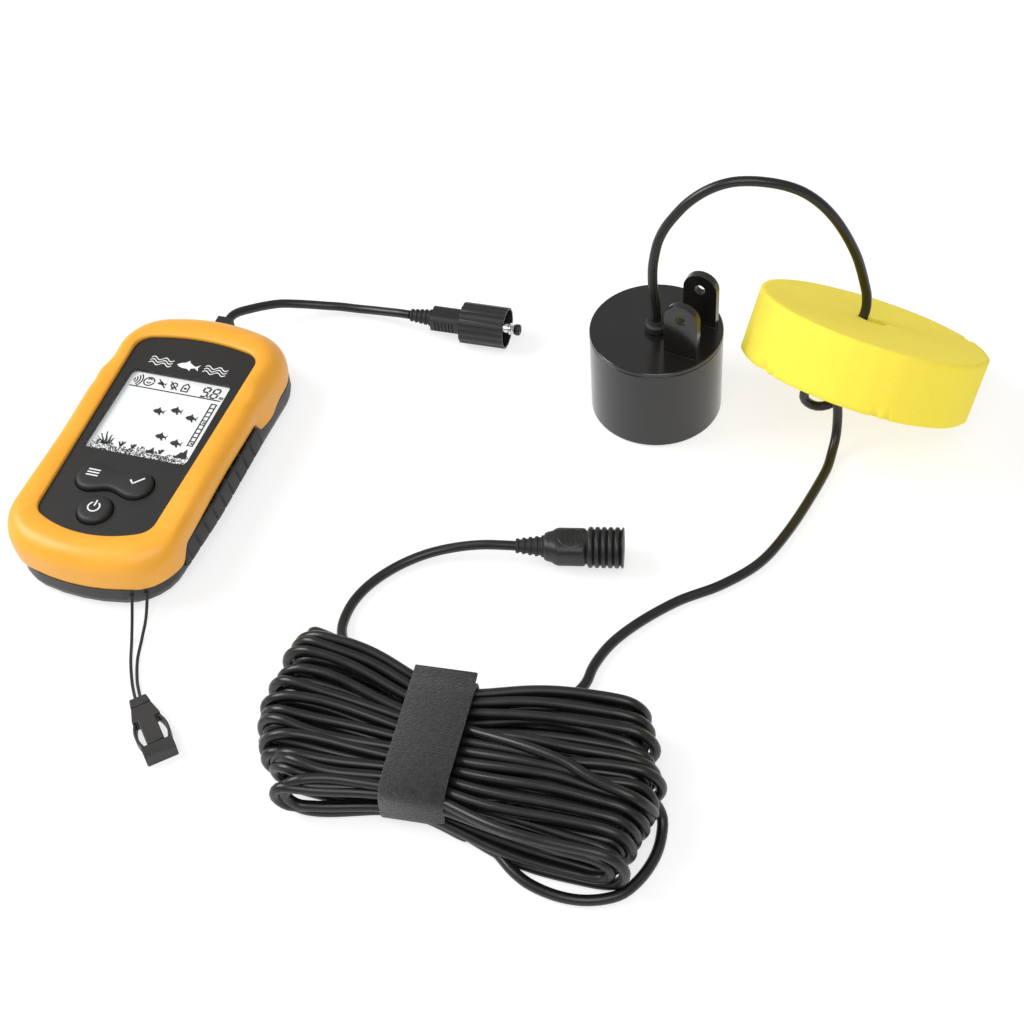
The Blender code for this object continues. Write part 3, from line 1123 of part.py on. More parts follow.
def make_buckle():
    thick = BUCKLE_THICKNESS
    narrow = 0.0029
    shoulder = 0.0035
    wide = BUCKLE_WIDTH / 2
    ferrule = buckle_piece([(0.0, -narrow), (FERRULE_LENGTH, -shoulder), (FERRULE_LENGTH, shoulder), (0.0, narrow)],
                           0.0, thick)
    as_part(ferrule, "lanyard_ferrule", "cord")
    start = FERRULE_LENGTH + GAP
    male = buckle_piece([(start, -shoulder), (BUCKLE_MALE_END - 0.001, -wide + 0.0003), (BUCKLE_MALE_END, -wide + 0.0003),
                         (BUCKLE_MALE_END, wide - 0.0003), (BUCKLE_MALE_END - 0.001, wide - 0.0003), (start, shoulder)],
                        0.0, thick)
    as_part(male, "buckle_male", "grey_plastic")
    tongue = BUCKLE_TONGUE / 2
    tongue_start = BUCKLE_MALE_END + GAP
    female = buckle_piece([(tongue_start, -tongue), (BUCKLE_BAR_START, -tongue), (BUCKLE_BAR_START, -wide),
                           (BUCKLE_LENGTH, -wide), (BUCKLE_LENGTH, wide), (BUCKLE_BAR_START, wide),
                           (BUCKLE_BAR_START, tongue), (tongue_start, tongue)], 0.0, thick)
    slot = buckle_piece([(BUCKLE_LENGTH - 0.0026, -wide + 0.0012), (BUCKLE_LENGTH - 0.0012, -wide + 0.0012),
                         (BUCKLE_LENGTH - 0.0012, wide - 0.0012), (BUCKLE_LENGTH - 0.0026, wide - 0.0012)],
                        -BEYOND, thick + BEYOND)
    cut(female, slot)
    as_part(baked(female), "buckle_female", "grey_plastic")

    root = tongue_start
    free = BUCKLE_BAR_START - RUN
    for side, name in ((1, "buckle_arm_left"), (-1, "buckle_arm_right")):
        base = wide - 0.0003 - ARM_THICKNESS
        inner = []
        outer = []
        for share in np.linspace(0.0, 1.0, 9):
            bulge = ARM_BULGE * math.sin(math.pi * min(1.0, share * 0.92)) ** 1.2 + 0.0004 * share
            x = root + (free - root) * share
            inner.append((x, side * (base + bulge)))
            outer.append((x, side * (base + bulge + ARM_THICKNESS)))
        outline = inner + outer[::-1]
        if side > 0:
            outline = outline[::-1]
        arm = buckle_piece(outline, 0.0004, thick - 0.0004)
        hinge = buckle_matrix() @ Vector((root, side * (base + ARM_THICKNESS / 2), 0.0))
        arm.data.transform(Matrix.Translation(-hinge))
        arm.location = hinge
        as_part(arm, name, "grey_plastic")


def make_lanyard():
    """A loop of thin cord: from the ferrule to one hole, round inside the case, and back."""
    first, second, out = lanyard_holes()
    side = (second - first).normalized()
    turn = []
    for degrees in range(0, 181, 30):
        angle = math.radians(degrees)
        centre = (first + second) / 2 - out * 0.0042
        turn.append(centre - side * LANYARD_SPREAD * math.cos(angle) - out * LANYARD_SPREAD * math.sin(angle) * 0.75)
    matrix = buckle_matrix()
    ends = [matrix @ Vector((-GAP, y, thick)) for y, thick in ((-0.0008, 0.0025), (0.0008, 0.0025))]
    hang = Vector((0.0, -CASE_LENGTH / 2, 0.0))
    left = [hang + Vector(place) for place in LANYARD_LEFT]
    left = [ends[0], *left, first + out * 0.0022, first + out * 0.0002]
    right = [hang + Vector(place) for place in LANYARD_RIGHT]
    right = [second + out * 0.0002, second + out * 0.0022, *right, ends[1]]
    route = [tuple(point) for point in left + turn + right]
    as_part(tube(smooth_route(route, LANYARD_SPACING), LANYARD_RADIUS), "lanyard_cord", "cord")


def main():
    clear_scene()
    define_materials()
    make_back_shell()
    make_front_shell()
    make_case_seal()
    make_screws()
    make_battery_door()
    make_batteries()
    make_front_panel()
    make_display()
    make_keys()
    make_grip(1, "side_grip_right")
    make_grip(-1, "side_grip_left")
    make_gland()
    make_plug()
    make_socket()
    make_transducer()
    make_float()
    make_cables()
    make_hank()
    make_buckle()
    make_lanyard()


main()
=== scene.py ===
"""The looks of a handheld fish finder with its transducer, float, plug, socket and wound cable.

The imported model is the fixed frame. Lengths are in metres. Every new piece is a surface over a grid of
points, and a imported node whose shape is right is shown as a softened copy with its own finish.
"""

import json
import math

import bmesh
import bpy
import numpy as np
from mathutils import Matrix, Vector


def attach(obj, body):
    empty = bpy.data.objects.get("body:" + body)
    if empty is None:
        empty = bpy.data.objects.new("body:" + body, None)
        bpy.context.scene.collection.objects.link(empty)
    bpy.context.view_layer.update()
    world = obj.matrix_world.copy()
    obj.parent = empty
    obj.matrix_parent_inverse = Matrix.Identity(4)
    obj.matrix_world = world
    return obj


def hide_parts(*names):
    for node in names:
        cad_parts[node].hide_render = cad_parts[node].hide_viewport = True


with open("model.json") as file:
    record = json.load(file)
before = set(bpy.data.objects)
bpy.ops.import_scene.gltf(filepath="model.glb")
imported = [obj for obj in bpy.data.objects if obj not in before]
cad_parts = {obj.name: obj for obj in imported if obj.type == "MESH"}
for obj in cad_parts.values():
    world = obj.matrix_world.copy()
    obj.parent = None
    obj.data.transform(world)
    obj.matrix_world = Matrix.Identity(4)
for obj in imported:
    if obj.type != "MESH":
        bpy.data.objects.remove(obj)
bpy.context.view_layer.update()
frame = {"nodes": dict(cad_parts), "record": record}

BASE = "sounder"
BODY_OF = {node: body for body, nodes in frame["record"]["behaviour"]["bodies"].items() for node in nodes}
UP = np.array([0.0, 0.0, 1.0])

# ---------------------------------------------------------------- sizes taken over from the design
CABLE_RADIUS = 0.00175
LANYARD_RADIUS = 0.00055
FLOAT_TOP = np.array([0.2433, 0.0961, 0.0425])
FLOAT_TILT = math.radians(33.0)
FLOAT_AZIMUTH = math.radians(71.0)
FLOAT_RADIUS = 0.0419
FLOAT_THICKNESS = 0.0232
FLOAT_CABLE = (-0.0042, -0.0008)        # where the cable runs, in the float's own frame
HANK_CENTRE = np.array([0.1475, -0.0950])
STRAP_X = 0.1400
STRAP_TURN = math.radians(5.5)
PANEL_TOP = 0.0230
DISPLAY_TOP = 0.0212
SCREEN_Y = 0.0077
SCREEN_SIZE = (0.0392, 0.0402)

# Points of the cables' ways: the handset's lead, then the sensor cable from the sensor on.
LEAD_ROUTE = (
    (-0.0012, 0.0696, 0.0140), (-0.0010, 0.0730, 0.0139), (0.0004, 0.0765, 0.0132),
    (0.0032, 0.0805, 0.0119), (0.0072, 0.0855, 0.0101), (0.0117, 0.0898, 0.0084),
    (0.0170, 0.0928, 0.0068), (0.0225, 0.0951, 0.0055), (0.0280, 0.0968, 0.0046),
    (0.0335, 0.0980, 0.0042), (0.0410, 0.0984, 0.0043), (0.0484, 0.0981, 0.0052),
    (0.0550, 0.0971, 0.0066), (0.0600, 0.0963, 0.0077), (0.0645, 0.0960, 0.0081),
)
ARCH_ROUTE = (
    (0.1680, 0.0805, 0.0414), (0.1678, 0.0804, 0.0470), (0.1669, 0.0802, 0.0560),
    (0.1670, 0.0802, 0.0670), (0.1696, 0.0809, 0.0798), (0.1760, 0.0826, 0.0905),
    (0.1822, 0.0842, 0.0968), (0.1902, 0.0863, 0.1010), (0.1991, 0.0886, 0.1017),
    (0.2090, 0.0912, 0.0997), (0.2163, 0.0931, 0.0960), (0.2231, 0.0949, 0.0894),
    (0.2291, 0.0965, 0.0803), (0.2346, 0.0979, 0.0684), (0.2378, 0.0988, 0.0573),
    (0.2394, 0.0988, 0.0507),
)
CURL_CENTRE = np.array([0.22895, 0.0803, 0.0188])
CURL_RADIUS = 0.0061
CURL_PITCH = 0.0040
CURL_RIGHT = np.array([0.993, 0.117, 0.0])
RUN_ROUTE = (
    (0.2362, 0.0757, 0.0125), (0.2368, 0.0735, 0.0082), (0.2367, 0.0706, 0.0047),
    (0.2365, 0.0662, 0.0026), (0.2363, 0.0610, 0.0019), (0.2340, 0.0485, 0.0018),
    (0.2290, 0.0283, 0.0018), (0.2223, 0.0110, 0.0018), (0.2114, -0.0023, 0.0018),
    (0.1997, -0.0120, 0.0018), (0.1891, -0.0243, 0.0018), (0.1819, -0.0362, 0.0018),
    (0.1789, -0.0468, 0.0018), (0.1785, -0.0530, 0.0018), (0.1760, -0.0588, 0.0018),
    (0.1740, -0.0615, 0.0018),
)
SIDE_ROUTE = (
    (0.1690, -0.0650, 0.0018), (0.1600, -0.0690, 0.0018), (0.1500, -0.0724, 0.0018),
    (0.1400, -0.0736, 0.0018),
)
DROP_ROUTE = (
    (0.1985, -0.0947, 0.0150), (0.2045, -0.0948, 0.0140), (0.2096, -0.0950, 0.0112),
    (0.2130, -0.0955, 0.0074), (0.2150, -0.0968, 0.0040), (0.2159, -0.0995, 0.0022),
)
LOOP_ROUTE = (
    (0.2162, -0.1054, 0.0018), (0.2157, -0.1120, 0.0018), (0.2116, -0.1220, 0.0018),
    (0.2068, -0.1264, 0.0018), (0.2003, -0.1292, 0.0018), (0.1935, -0.1301, 0.0018),
    (0.1874, -0.1297, 0.0018), (0.1805, -0.1279, 0.0018), (0.1744, -0.1245, 0.0018),
    (0.1690, -0.1204, 0.0018), (0.1635, -0.1175, 0.0018), (0.1575, -0.1160, 0.0018),
)
TAIL_ROUTE = (
    (0.1075, -0.0650, 0.0040), (0.1012, -0.0626, 0.0048), (0.0960, -0.0590, 0.0040),
    (0.0927, -0.0530, 0.0026), (0.0917, -0.0460, 0.0019), (0.0926, -0.0380, 0.0018),
    (0.0963, -0.0293, 0.0019), (0.1027, -0.0209, 0.0023), (0.1112, -0.0144, 0.0034),
    (0.1210, -0.0104, 0.0050), (0.1305, -0.0085, 0.0067), (0.1399, -0.0074, 0.0075),
    (0.1416, -0.0070, 0.0075),
)

# ================================================================ node groups and finishes

def new_group(name, inputs, outputs):
    """An empty shader group with float or vector inputs and outputs; returns it and its two end nodes."""
    group = bpy.data.node_groups.new(name, "ShaderNodeTree")
    for label, kind, value in inputs:
        socket = group.interface.new_socket(label, in_out="INPUT", socket_type=kind)
        if value is not None:
            socket.default_value = value
    for label in outputs:
        group.interface.new_socket(label, in_out="OUTPUT", socket_type="NodeSocketFloat")
    return group, group.nodes.new("NodeGroupInput"), group.nodes.new("NodeGroupOutput")


def moulding_group():
    """Grain is a fine even noise; Mottle is a slow cloudy one; Dust is sparse specks of the fine noise."""
    group, start, end = new_group(
        "moulding_grain",
        (("Vector", "NodeSocketVector", None), ("Grain Scale", "NodeSocketFloat", 3000.0),
         ("Mottle Scale", "NodeSocketFloat", 60.0)),
        ("Grain", "Mottle", "Dust"))
    links = group.links
    grain = group.nodes.new("ShaderNodeTexNoise")
    grain.inputs["Detail"].default_value = 3.0
    mottle = group.nodes.new("ShaderNodeTexNoise")
    mottle.inputs["Detail"].default_value = 4.0
    dust = group.nodes.new("ShaderNodeTexVoronoi")
    dust.inputs["Scale"].default_value = 420.0
    ramp = group.nodes.new("ShaderNodeMapRange")
    ramp.inputs["From Min"].default_value = 0.10
    ramp.inputs["From Max"].default_value = 0.04
    for node, scale in ((grain, "Grain Scale"), (mottle, "Mottle Scale")):
        links.new(start.outputs["Vector"], node.inputs["Vector"])
        links.new(start.outputs[scale], node.inputs["Scale"])
    links.new(start.outputs["Vector"], dust.inputs["Vector"])
    links.new(dust.outputs["Distance"], ramp.inputs["Value"])
    links.new(grain.outputs["Fac"], end.inputs["Grain"])
    links.new(mottle.outputs["Fac"], end.inputs["Mottle"])
    links.new(ramp.outputs["Result"], end.inputs["Dust"])
    return group


def foam_group():
    """Pores are small cells of three sizes, also the mask for the painted shade in the foam's colour; Slices
    are faint waves left by the cutting wire.
    """
    group, start, end = new_group(
        "cut_foam", (("Vector", "NodeSocketVector", None),), ("Pores", "Slices", "Cloud"))
    links = group.links
    fine = group.nodes.new("ShaderNodeTexVoronoi")
    fine.inputs["Scale"].default_value = 1400.0
    coarse = group.nodes.new("ShaderNodeTexVoronoi")
    coarse.inputs["Scale"].default_value = 520.0
    both = group.nodes.new("ShaderNodeMath")
    both.operation = "ADD"
    slices = group.nodes.new("ShaderNodeTexNoise")
    slices.inputs["Scale"].default_value = 55.0
    slices.inputs["Detail"].default_value = 2.0
    slices.inputs["Distortion"].default_value = 1.2
    cloud = group.nodes.new("ShaderNodeTexNoise")
    cloud.inputs["Scale"].default_value = 30.0
    for node in (fine, coarse, slices, cloud):
        links.new(start.outputs["Vector"], node.inputs["Vector"])
    links.new(fine.outputs["Distance"], both.inputs[0])
    links.new(coarse.outputs["Distance"], both.inputs[1])
    links.new(both.outputs["Value"], end.inputs["Pores"])
    links.new(slices.outputs["Fac"], end.inputs["Slices"])
    links.new(cloud.outputs["Fac"], end.inputs["Cloud"])
    return group


def felt_group():
    """Fibre is a stretched noise in two crossing directions; Pill is a cloudy noise for matted patches."""
    group, start, end = new_group("brushed_felt", (("Vector", "NodeSocketVector", None),), ("Fibre", "Pill"))
    links = group.links
    total = group.nodes.new("ShaderNodeMath")
    total.operation = "ADD"
    for slot, stretch in enumerate(((1.0, 0.35, 1.0), (0.35, 1.0, 1.0))):
        mapping = group.nodes.new("ShaderNodeMapping")
        mapping.inputs["Scale"].default_value = stretch
        mapping.inputs["Rotation"].default_value = (0.0, 0.0, 0.5 + slot)
        noise = group.nodes.new("ShaderNodeTexNoise")
        noise.inputs["Scale"].default_value = 2600.0
        noise.inputs["Detail"].default_value = 4.0
        links.new(start.outputs["Vector"], mapping.inputs["Vector"])
        links.new(mapping.outputs["Vector"], noise.inputs["Vector"])
        links.new(noise.outputs["Fac"], total.inputs[slot])
    pill = group.nodes.new("ShaderNodeTexNoise")
    pill.inputs["Scale"].default_value = 700.0
    pill.inputs["Detail"].default_value = 5.0
    links.new(start.outputs["Vector"], pill.inputs["Vector"])
    links.new(total.outputs["Value"], end.inputs["Fibre"])
    links.new(pill.outputs["Fac"], end.inputs["Pill"])
    return group


MOULDING = moulding_group()
FOAM = foam_group()
FELT = felt_group()


def blank(name):
    """A new material with its shader: returns both and the linking call."""
    material = bpy.data.materials.new(name)
    material.use_nodes = True
    return material, material.node_tree.nodes["Principled BSDF"], material.node_tree.links.new


def add_group(material, group):
    """Places a shader group in a material, fed with Object coordinates."""
    nodes = material.node_tree.nodes
    links = material.node_tree.links
    place = nodes.new("ShaderNodeTexCoord")
    holder = nodes.new("ShaderNodeGroup")
    holder.node_tree = group
    links.new(place.outputs["Object"], holder.inputs["Vector"])
    return holder


def value_over(material, mask, low, high):
    """A number that rises from low to high as the mask goes from 0.3 to 0.7."""
    node = material.node_tree.nodes.new("ShaderNodeMapRange")
    node.inputs["From Min"].default_value = 0.3
    node.inputs["From Max"].default_value = 0.7
    node.inputs["To Min"].default_value = low
    node.inputs["To Max"].default_value = high
    material.node_tree.links.new(mask, node.inputs["Value"])
    return node.outputs["Result"]


def colour_over(material, mask, colours, start=0.3, end=0.7):
    """A colour that goes from the first of two to the second as the mask goes from start to end."""
    ramp = material.node_tree.nodes.new("ShaderNodeValToRGB")
    for element, place, colour in zip(ramp.color_ramp.elements, (start, end), colours):
        element.position = place
        element.color = (*colour, 1.0)
    material.node_tree.links.new(mask, ramp.inputs["Fac"])
    return ramp.outputs["Color"]


def bump(material, shader, height, strength, distance):
    """Relief on the shader's normal from a height."""
    node = material.node_tree.nodes.new("ShaderNodeBump")
    node.inputs["Strength"].default_value = strength
    node.inputs["Distance"].default_value = distance
    material.node_tree.links.new(height, node.inputs["Height"])
    material.node_tree.links.new(node.outputs["Normal"], shader.inputs["Normal"])


def moulded(name, colours, roughness, metallic=0.0, grain=(3000.0, 0.12), mottle=60.0, coat=0.0, sheen=0.0):
    """A moulded, cast or plated finish: two close colours by slow mottling, and a fine grain in its relief.

    grain is the scale of the fine noise and the strength of its relief; mottle is the slow noise's scale.
    """
    material, shader, link = blank(name)
    holder = add_group(material, MOULDING)
    holder.inputs["Grain Scale"].default_value = grain[0]
    holder.inputs["Mottle Scale"].default_value = mottle
    link(colour_over(material, holder.outputs["Mottle"], colours), shader.inputs["Base Color"])
    link(value_over(material, holder.outputs["Mottle"], *roughness), shader.inputs["Roughness"])
    shader.inputs["Metallic"].default_value = metallic
    shader.inputs["Coat Weight"].default_value = coat
    shader.inputs["Coat Roughness"].default_value = 0.18
    shader.inputs["Sheen Weight"].default_value = sheen
    bump(material, shader, holder.outputs["Grain"], grain[1], 0.0002)
    return material


def foam():
    """Yellow closed-cell foam: painted shade darkens its colour in the pores, very dull, with pores and wire
    waves in its relief.
    """
    material, shader, link = blank("foam")
    holder = add_group(material, FOAM)
    # the darker colour, where the pores are, is painted shade in the pore hollows; the lighter one is the
    # foam's own yellow
    shades = ((0.86, 0.66, 0.03), (0.98, 0.80, 0.070))
    link(colour_over(material, holder.outputs["Pores"], shades, 0.10, 0.6), shader.inputs["Base Color"])
    link(value_over(material, holder.outputs["Cloud"], 0.82, 0.95), shader.inputs["Roughness"])
    total = material.node_tree.nodes.new("ShaderNodeMath")
    total.operation = "MULTIPLY_ADD"
    total.inputs[1].default_value = 1.6
    link(holder.outputs["Slices"], total.inputs[0])
    link(holder.outputs["Pores"], total.inputs[2])
    shader.inputs["Subsurface Weight"].default_value = 0.06
    shader.inputs["Subsurface Radius"].default_value = (0.004, 0.003, 0.001)
    bump(material, shader, total.outputs["Value"], 0.16, 0.0004)
    return material


def felt():
    """Dark brushed felt: matted patches in its colour, crossing fibres in its relief, and a soft sheen."""
    material, shader, link = blank("strap_felt")
    holder = add_group(material, FELT)
    shades = ((0.010, 0.0095, 0.010), (0.034, 0.033, 0.0335))
    link(colour_over(material, holder.outputs["Pill"], shades, 0.25, 0.75), shader.inputs["Base Color"])
    shader.inputs["Roughness"].default_value = 0.95
    shader.inputs["Sheen Weight"].default_value = 0.35
    shader.inputs["Sheen Roughness"].default_value = 0.5
    bump(material, shader, holder.outputs["Fibre"], 0.8, 0.0005)
    return material


def clear_window():
    """A thin clear sheet: it lets most light straight through and keeps a sharp reflection."""
    shades = ((0.22, 0.23, 0.24), (0.26, 0.27, 0.28))
    material = moulded("clear_window", shades, (0.03, 0.06), grain=(900.0, 0.0))
    material.node_tree.nodes["Principled BSDF"].inputs["Alpha"].default_value = 0.05
    return material


FINISH = {
    "orange": moulded("orange_plastic", ((0.86, 0.370, 0.022), (0.91, 0.415, 0.030)), (0.38, 0.46),
                      grain=(1500.0, 0.05), mottle=45.0, coat=0.08),
    "panel": moulded("panel_charcoal", ((0.0085, 0.0076, 0.0070), (0.0115, 0.0102, 0.0094)),
                     (0.50, 0.58), grain=(4200.0, 0.25)),
    "case_black": moulded("case_black", ((0.016, 0.0145, 0.0135), (0.022, 0.0200, 0.0190)),
                          (0.40, 0.50), grain=(3600.0, 0.15)),
    "rubber": moulded("black_rubber", ((0.009, 0.0082, 0.0080), (0.014, 0.0130, 0.0125)),
                      (0.52, 0.64), grain=(5200.0, 0.2)),
    "keys": moulded("key_rubber", ((0.0100, 0.0092, 0.0088), (0.0130, 0.0120, 0.0115)),
                    (0.45, 0.56), grain=(5200.0, 0.15)),
    "gloss": moulded("gloss_black", ((0.0080, 0.0068, 0.0062), (0.0110, 0.0095, 0.0088)),
                     (0.14, 0.21), grain=(2600.0, 0.03), coat=0.2),
    "cable": moulded("cable_jacket", ((0.0058, 0.0053, 0.0049), (0.0088, 0.0080, 0.0074)),
                     (0.27, 0.35), grain=(2400.0, 0.10), mottle=140.0),
    "plug": moulded("plug_black", ((0.0085, 0.0080, 0.0077), (0.0130, 0.0122, 0.0117)),
                    (0.38, 0.48), grain=(4200.0, 0.15)),
    "buckle": moulded("buckle_grey", ((0.0160, 0.0148, 0.0142), (0.0230, 0.0212, 0.0205)),
                      (0.36, 0.46), grain=(3600.0, 0.12)),
    "cord": moulded("braided_cord", ((0.0100, 0.0100, 0.0100), (0.0180, 0.0180, 0.0180)),
                    (0.75, 0.9), grain=(4200.0, 0.6), sheen=0.2),
    "chrome": moulded("chrome_pin", ((0.72, 0.73, 0.74), (0.80, 0.81, 0.82)),
                      (0.10, 0.17), metallic=1.0, grain=(2600.0, 0.02)),
    "brass": moulded("brass_contact", ((0.72, 0.50, 0.20), (0.80, 0.60, 0.28)), (0.22, 0.34), metallic=1.0),
    "steel": moulded("plated_steel", ((0.52, 0.53, 0.54), (0.62, 0.63, 0.65)), (0.26, 0.38), metallic=1.0),
    "wrap": moulded("cell_wrap", ((0.05, 0.09, 0.22), (0.07, 0.12, 0.28)), (0.28, 0.36)),
    "board": moulded("solder_mask", ((0.010, 0.11, 0.035), (0.016, 0.16, 0.05)), (0.30, 0.42)),
    "lcd": moulded("lcd_glass", ((0.94, 0.96, 0.96), (0.98, 0.99, 0.99)),
                   (0.25, 0.32), grain=(900.0, 0.0), mottle=25.0),
    "ink": moulded("lcd_segment", ((0.004, 0.004, 0.005), (0.007, 0.007, 0.008)),
                   (0.55, 0.65), grain=(900.0, 0.0)),
    "print": moulded("white_print", ((0.78, 0.78, 0.77), (0.86, 0.86, 0.85)),
                     (0.45, 0.55), grain=(3000.0, 0.05)),
    "ceramic": moulded("piezo_ceramic", ((0.62, 0.55, 0.40), (0.70, 0.62, 0.48)), (0.5, 0.62)),
    "cork": moulded("pressed_cork", ((0.24, 0.13, 0.05), (0.40, 0.25, 0.12)),
                    (0.85, 0.95), grain=(1400.0, 0.8), mottle=500.0),
    "resin": moulded("potting_resin", ((0.020, 0.018, 0.018), (0.034, 0.031, 0.030)), (0.25, 0.4)),
    "foam": foam(),
    "felt": felt(),
    "clear": clear_window(),
}

# ================================================================ surfaces

def new_piece(name, points, faces, finish, body=BASE, sharp=38):
    """A mesh of numpy points and faces, smooth shaded up to an angle, riding on a body."""
    mesh = bpy.data.meshes.new(name)
    mesh.from_pydata(np.asarray(points).tolist(), [], faces)
    mesh.shade_smooth()
    mesh.set_sharp_from_angle(angle=math.radians(sharp))
    mesh.materials.append(FINISH[finish])
    piece = bpy.data.objects.new(name, mesh)
    bpy.context.scene.collection.objects.link(piece)
    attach(piece, body)
    return piece


def grid_faces(rows, columns, around=True, along=False, ends=True):
    """Quads joining each row of a grid to the next and each column to the next, and a cap on each end row."""
    i = np.arange(rows if along else rows - 1)[:, None]
    j = np.arange(columns if around else columns - 1)[None, :]
    next_i = (i + 1) % rows
    next_j = (j + 1) % columns
    corners = (i * columns + j, i * columns + next_j, next_i * columns + next_j, next_i * columns + j)
    faces = np.stack(np.broadcast_arrays(*corners), -1).reshape(-1, 4).tolist()
    if ends and not along:
        faces.append(list(range(columns))[::-1])
        faces.append(list(range((rows - 1) * columns, rows * columns)))
    return faces


def curve_through(points, spacing):
    """A smooth line through the points, with samples an even distance apart.

    Between two points it is the cubic whose slope at each is half the step from the point before to the
    point after; the samples are then laid out evenly by arc length.
    """
    p = np.asarray(points, float)
    padded = np.vstack([2 * p[0] - p[1], p, 2 * p[-1] - p[-2]])
    a, b, c, d = padded[:-3], padded[1:-2], padded[2:-1], padded[3:]
    t = np.linspace(0.0, 1.0, 24, endpoint=False)[None, :, None]
    a, b, c, d = (q[:, None, :] for q in (a, b, c, d))
    squared, cubed = 2 * a - 5 * b + 4 * c - d, 3 * b - a - 3 * c + d
    dense = 0.5 * (2 * b + (c - a) * t + squared * t ** 2 + cubed * t ** 3)
    return even(np.vstack([dense.reshape(-1, 3), p[-1:]]), spacing)


def even(path, spacing):
    """The same line with its samples an even distance apart."""
    steps = np.linalg.norm(np.diff(path, axis=0), axis=1)
    keep = np.concatenate([[True], steps > 1e-7])
    path = path[keep]
    at = np.concatenate([[0.0], np.cumsum(np.linalg.norm(np.diff(path, axis=0), axis=1))])
    wanted = np.linspace(0.0, at[-1], max(2, int(round(at[-1] / spacing)) + 1))
    return np.stack([np.interp(wanted, at, path[:, k]) for k in range(3)], 1)


def carried_frames(path):
    """Two directions across the path at each sample, carried along it without twist."""
    tangent = np.gradient(path, axis=0)
    tangent /= np.linalg.norm(tangent, axis=1)[:, None]
    across = np.cross(tangent[0], UP if abs(tangent[0][2]) < 0.9 else np.array([1.0, 0.0, 0.0]))
    first = np.empty_like(path)
    for index, direction in enumerate(tangent):
        across = across - direction * np.dot(across, direction)
        across /= np.linalg.norm(across)
        first[index] = across
    return first, np.cross(tangent, first)


def tube(name, path, radius, finish, body=BASE, sides=14):
    """A ring of the given radius round each sample of the path."""
    first, second = carried_frames(path)
    angle = np.linspace(0, 2 * np.pi, sides, endpoint=False)[None, :, None]
    ring = first[:, None, :] * np.cos(angle) + second[:, None, :] * np.sin(angle)
    grid = path[:, None, :] + radius * ring
    return new_piece(name, grid.reshape(-1, 3), grid_faces(len(path), sides), finish, body)


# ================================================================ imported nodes, softened

def softened(node, finish, width=0.00015, smooth=32):
    """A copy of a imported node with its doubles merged, flat faces rejoined and its edges slightly rounded."""
    source = frame["nodes"][node]
    work = bmesh.new()
    work.from_mesh(source.data)
    bmesh.ops.remove_doubles(work, verts=work.verts, dist=2e-6)
    bmesh.ops.dissolve_limit(work, angle_limit=math.radians(0.6), verts=work.verts, edges=work.edges)
    mesh = bpy.data.meshes.new(f"{node}_shown")
    work.to_mesh(mesh)
    work.free()
    mesh.shade_smooth()
    mesh.set_sharp_from_angle(angle=math.radians(smooth))
    mesh.materials.append(FINISH[finish])
    piece = bpy.data.objects.new(f"{node}_shown", mesh)
    bpy.context.scene.collection.objects.link(piece)
    if width:
        rounding = piece.modifiers.new("edges", "BEVEL")
        rounding.width = width
        rounding.segments = 2
        rounding.limit_method = "ANGLE"
        rounding.angle_limit = math.radians(38)
        rounding.use_clamp_overlap = True
    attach(piece, BODY_OF[node])
    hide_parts(node)
    return piece


SHOWN_AS = {
    "back_shell": ("case_black", 0.0002), "battery_door": ("case_black", 0.0002),
    "front_panel": ("panel", 0.0002), "handset_gland": ("rubber", 0.0004),
    "plug_strain_relief": ("rubber", 0.0001), "plug_body": ("plug", 0.0002), "plug_nut": ("plug", 0.0002),
    "plug_seal": ("rubber", 0.0),
    "socket_strain_relief": ("rubber", 0.0001), "socket_contact": ("brass", 0.0),
    "transducer_housing": ("gloss", 0.0003), "transducer_lid": ("gloss", 0.0003),
    "transducer_gland": ("rubber", 0.0),
    "lanyard_ferrule": ("buckle", 0.0004),
}
INNER_FINISH = {
    "case_seal": "rubber", "battery_bay": "case_black",
    "contact_plate_top": "steel", "contact_plate_foot": "steel",
    "screen_window": "clear", "display_cell": "lcd", "light_guide": "lcd", "main_board": "board",
    "buzzer": "case_black",
    "setup_switch": "steel", "enter_switch": "steel", "power_switch": "steel", "piezo_disc": "ceramic",
    "cork_backing": "cork", "potting_resin": "resin",
    "battery_1": "wrap", "battery_2": "wrap", "battery_3": "wrap", "battery_4": "wrap",
    "case_screw_1": "steel", "case_screw_2": "steel", "case_screw_3": "steel", "case_screw_4": "steel",
}


def show_packed_nodes():
    """Softened copies of the outside nodes, and finishes on the inside ones, which keep their own mesh."""
    for node, (finish, width) in SHOWN_AS.items():
        softened(node, finish, width)
    for node, finish in INNER_FINISH.items():
        for place in frame["nodes"][node].material_slots:
            place.material = FINISH[finish]


# ================================================================ cables

def about_z(angle):
    """The turn by an angle about the upright axis."""
    c, s = math.cos(angle), math.sin(angle)
    return np.array([[c, -s, 0], [s, c, 0], [0, 0, 1]])


def float_turn():
    """The float's own axes in the frame: tilted towards its azimuth."""
    c, s = math.cos(FLOAT_TILT), math.sin(FLOAT_TILT)
    tilt = np.array([[c, 0, s], [0, 1, 0], [-s, 0, c]])
    return about_z(FLOAT_AZIMUTH) @ tilt @ about_z(-FLOAT_AZIMUTH)


def float_line():
    """The straight way through the float, from over its top face to under its foot."""
    levels = np.array([0.0032, 0.0, -FLOAT_THICKNESS / 3, -2 * FLOAT_THICKNESS / 3, -FLOAT_THICKNESS,
                       -FLOAT_THICKNESS - 0.0015])
    local = np.stack([np.full(6, FLOAT_CABLE[0]), np.full(6, FLOAT_CABLE[1]), levels], 1)
    return FLOAT_TOP + local @ float_turn().T


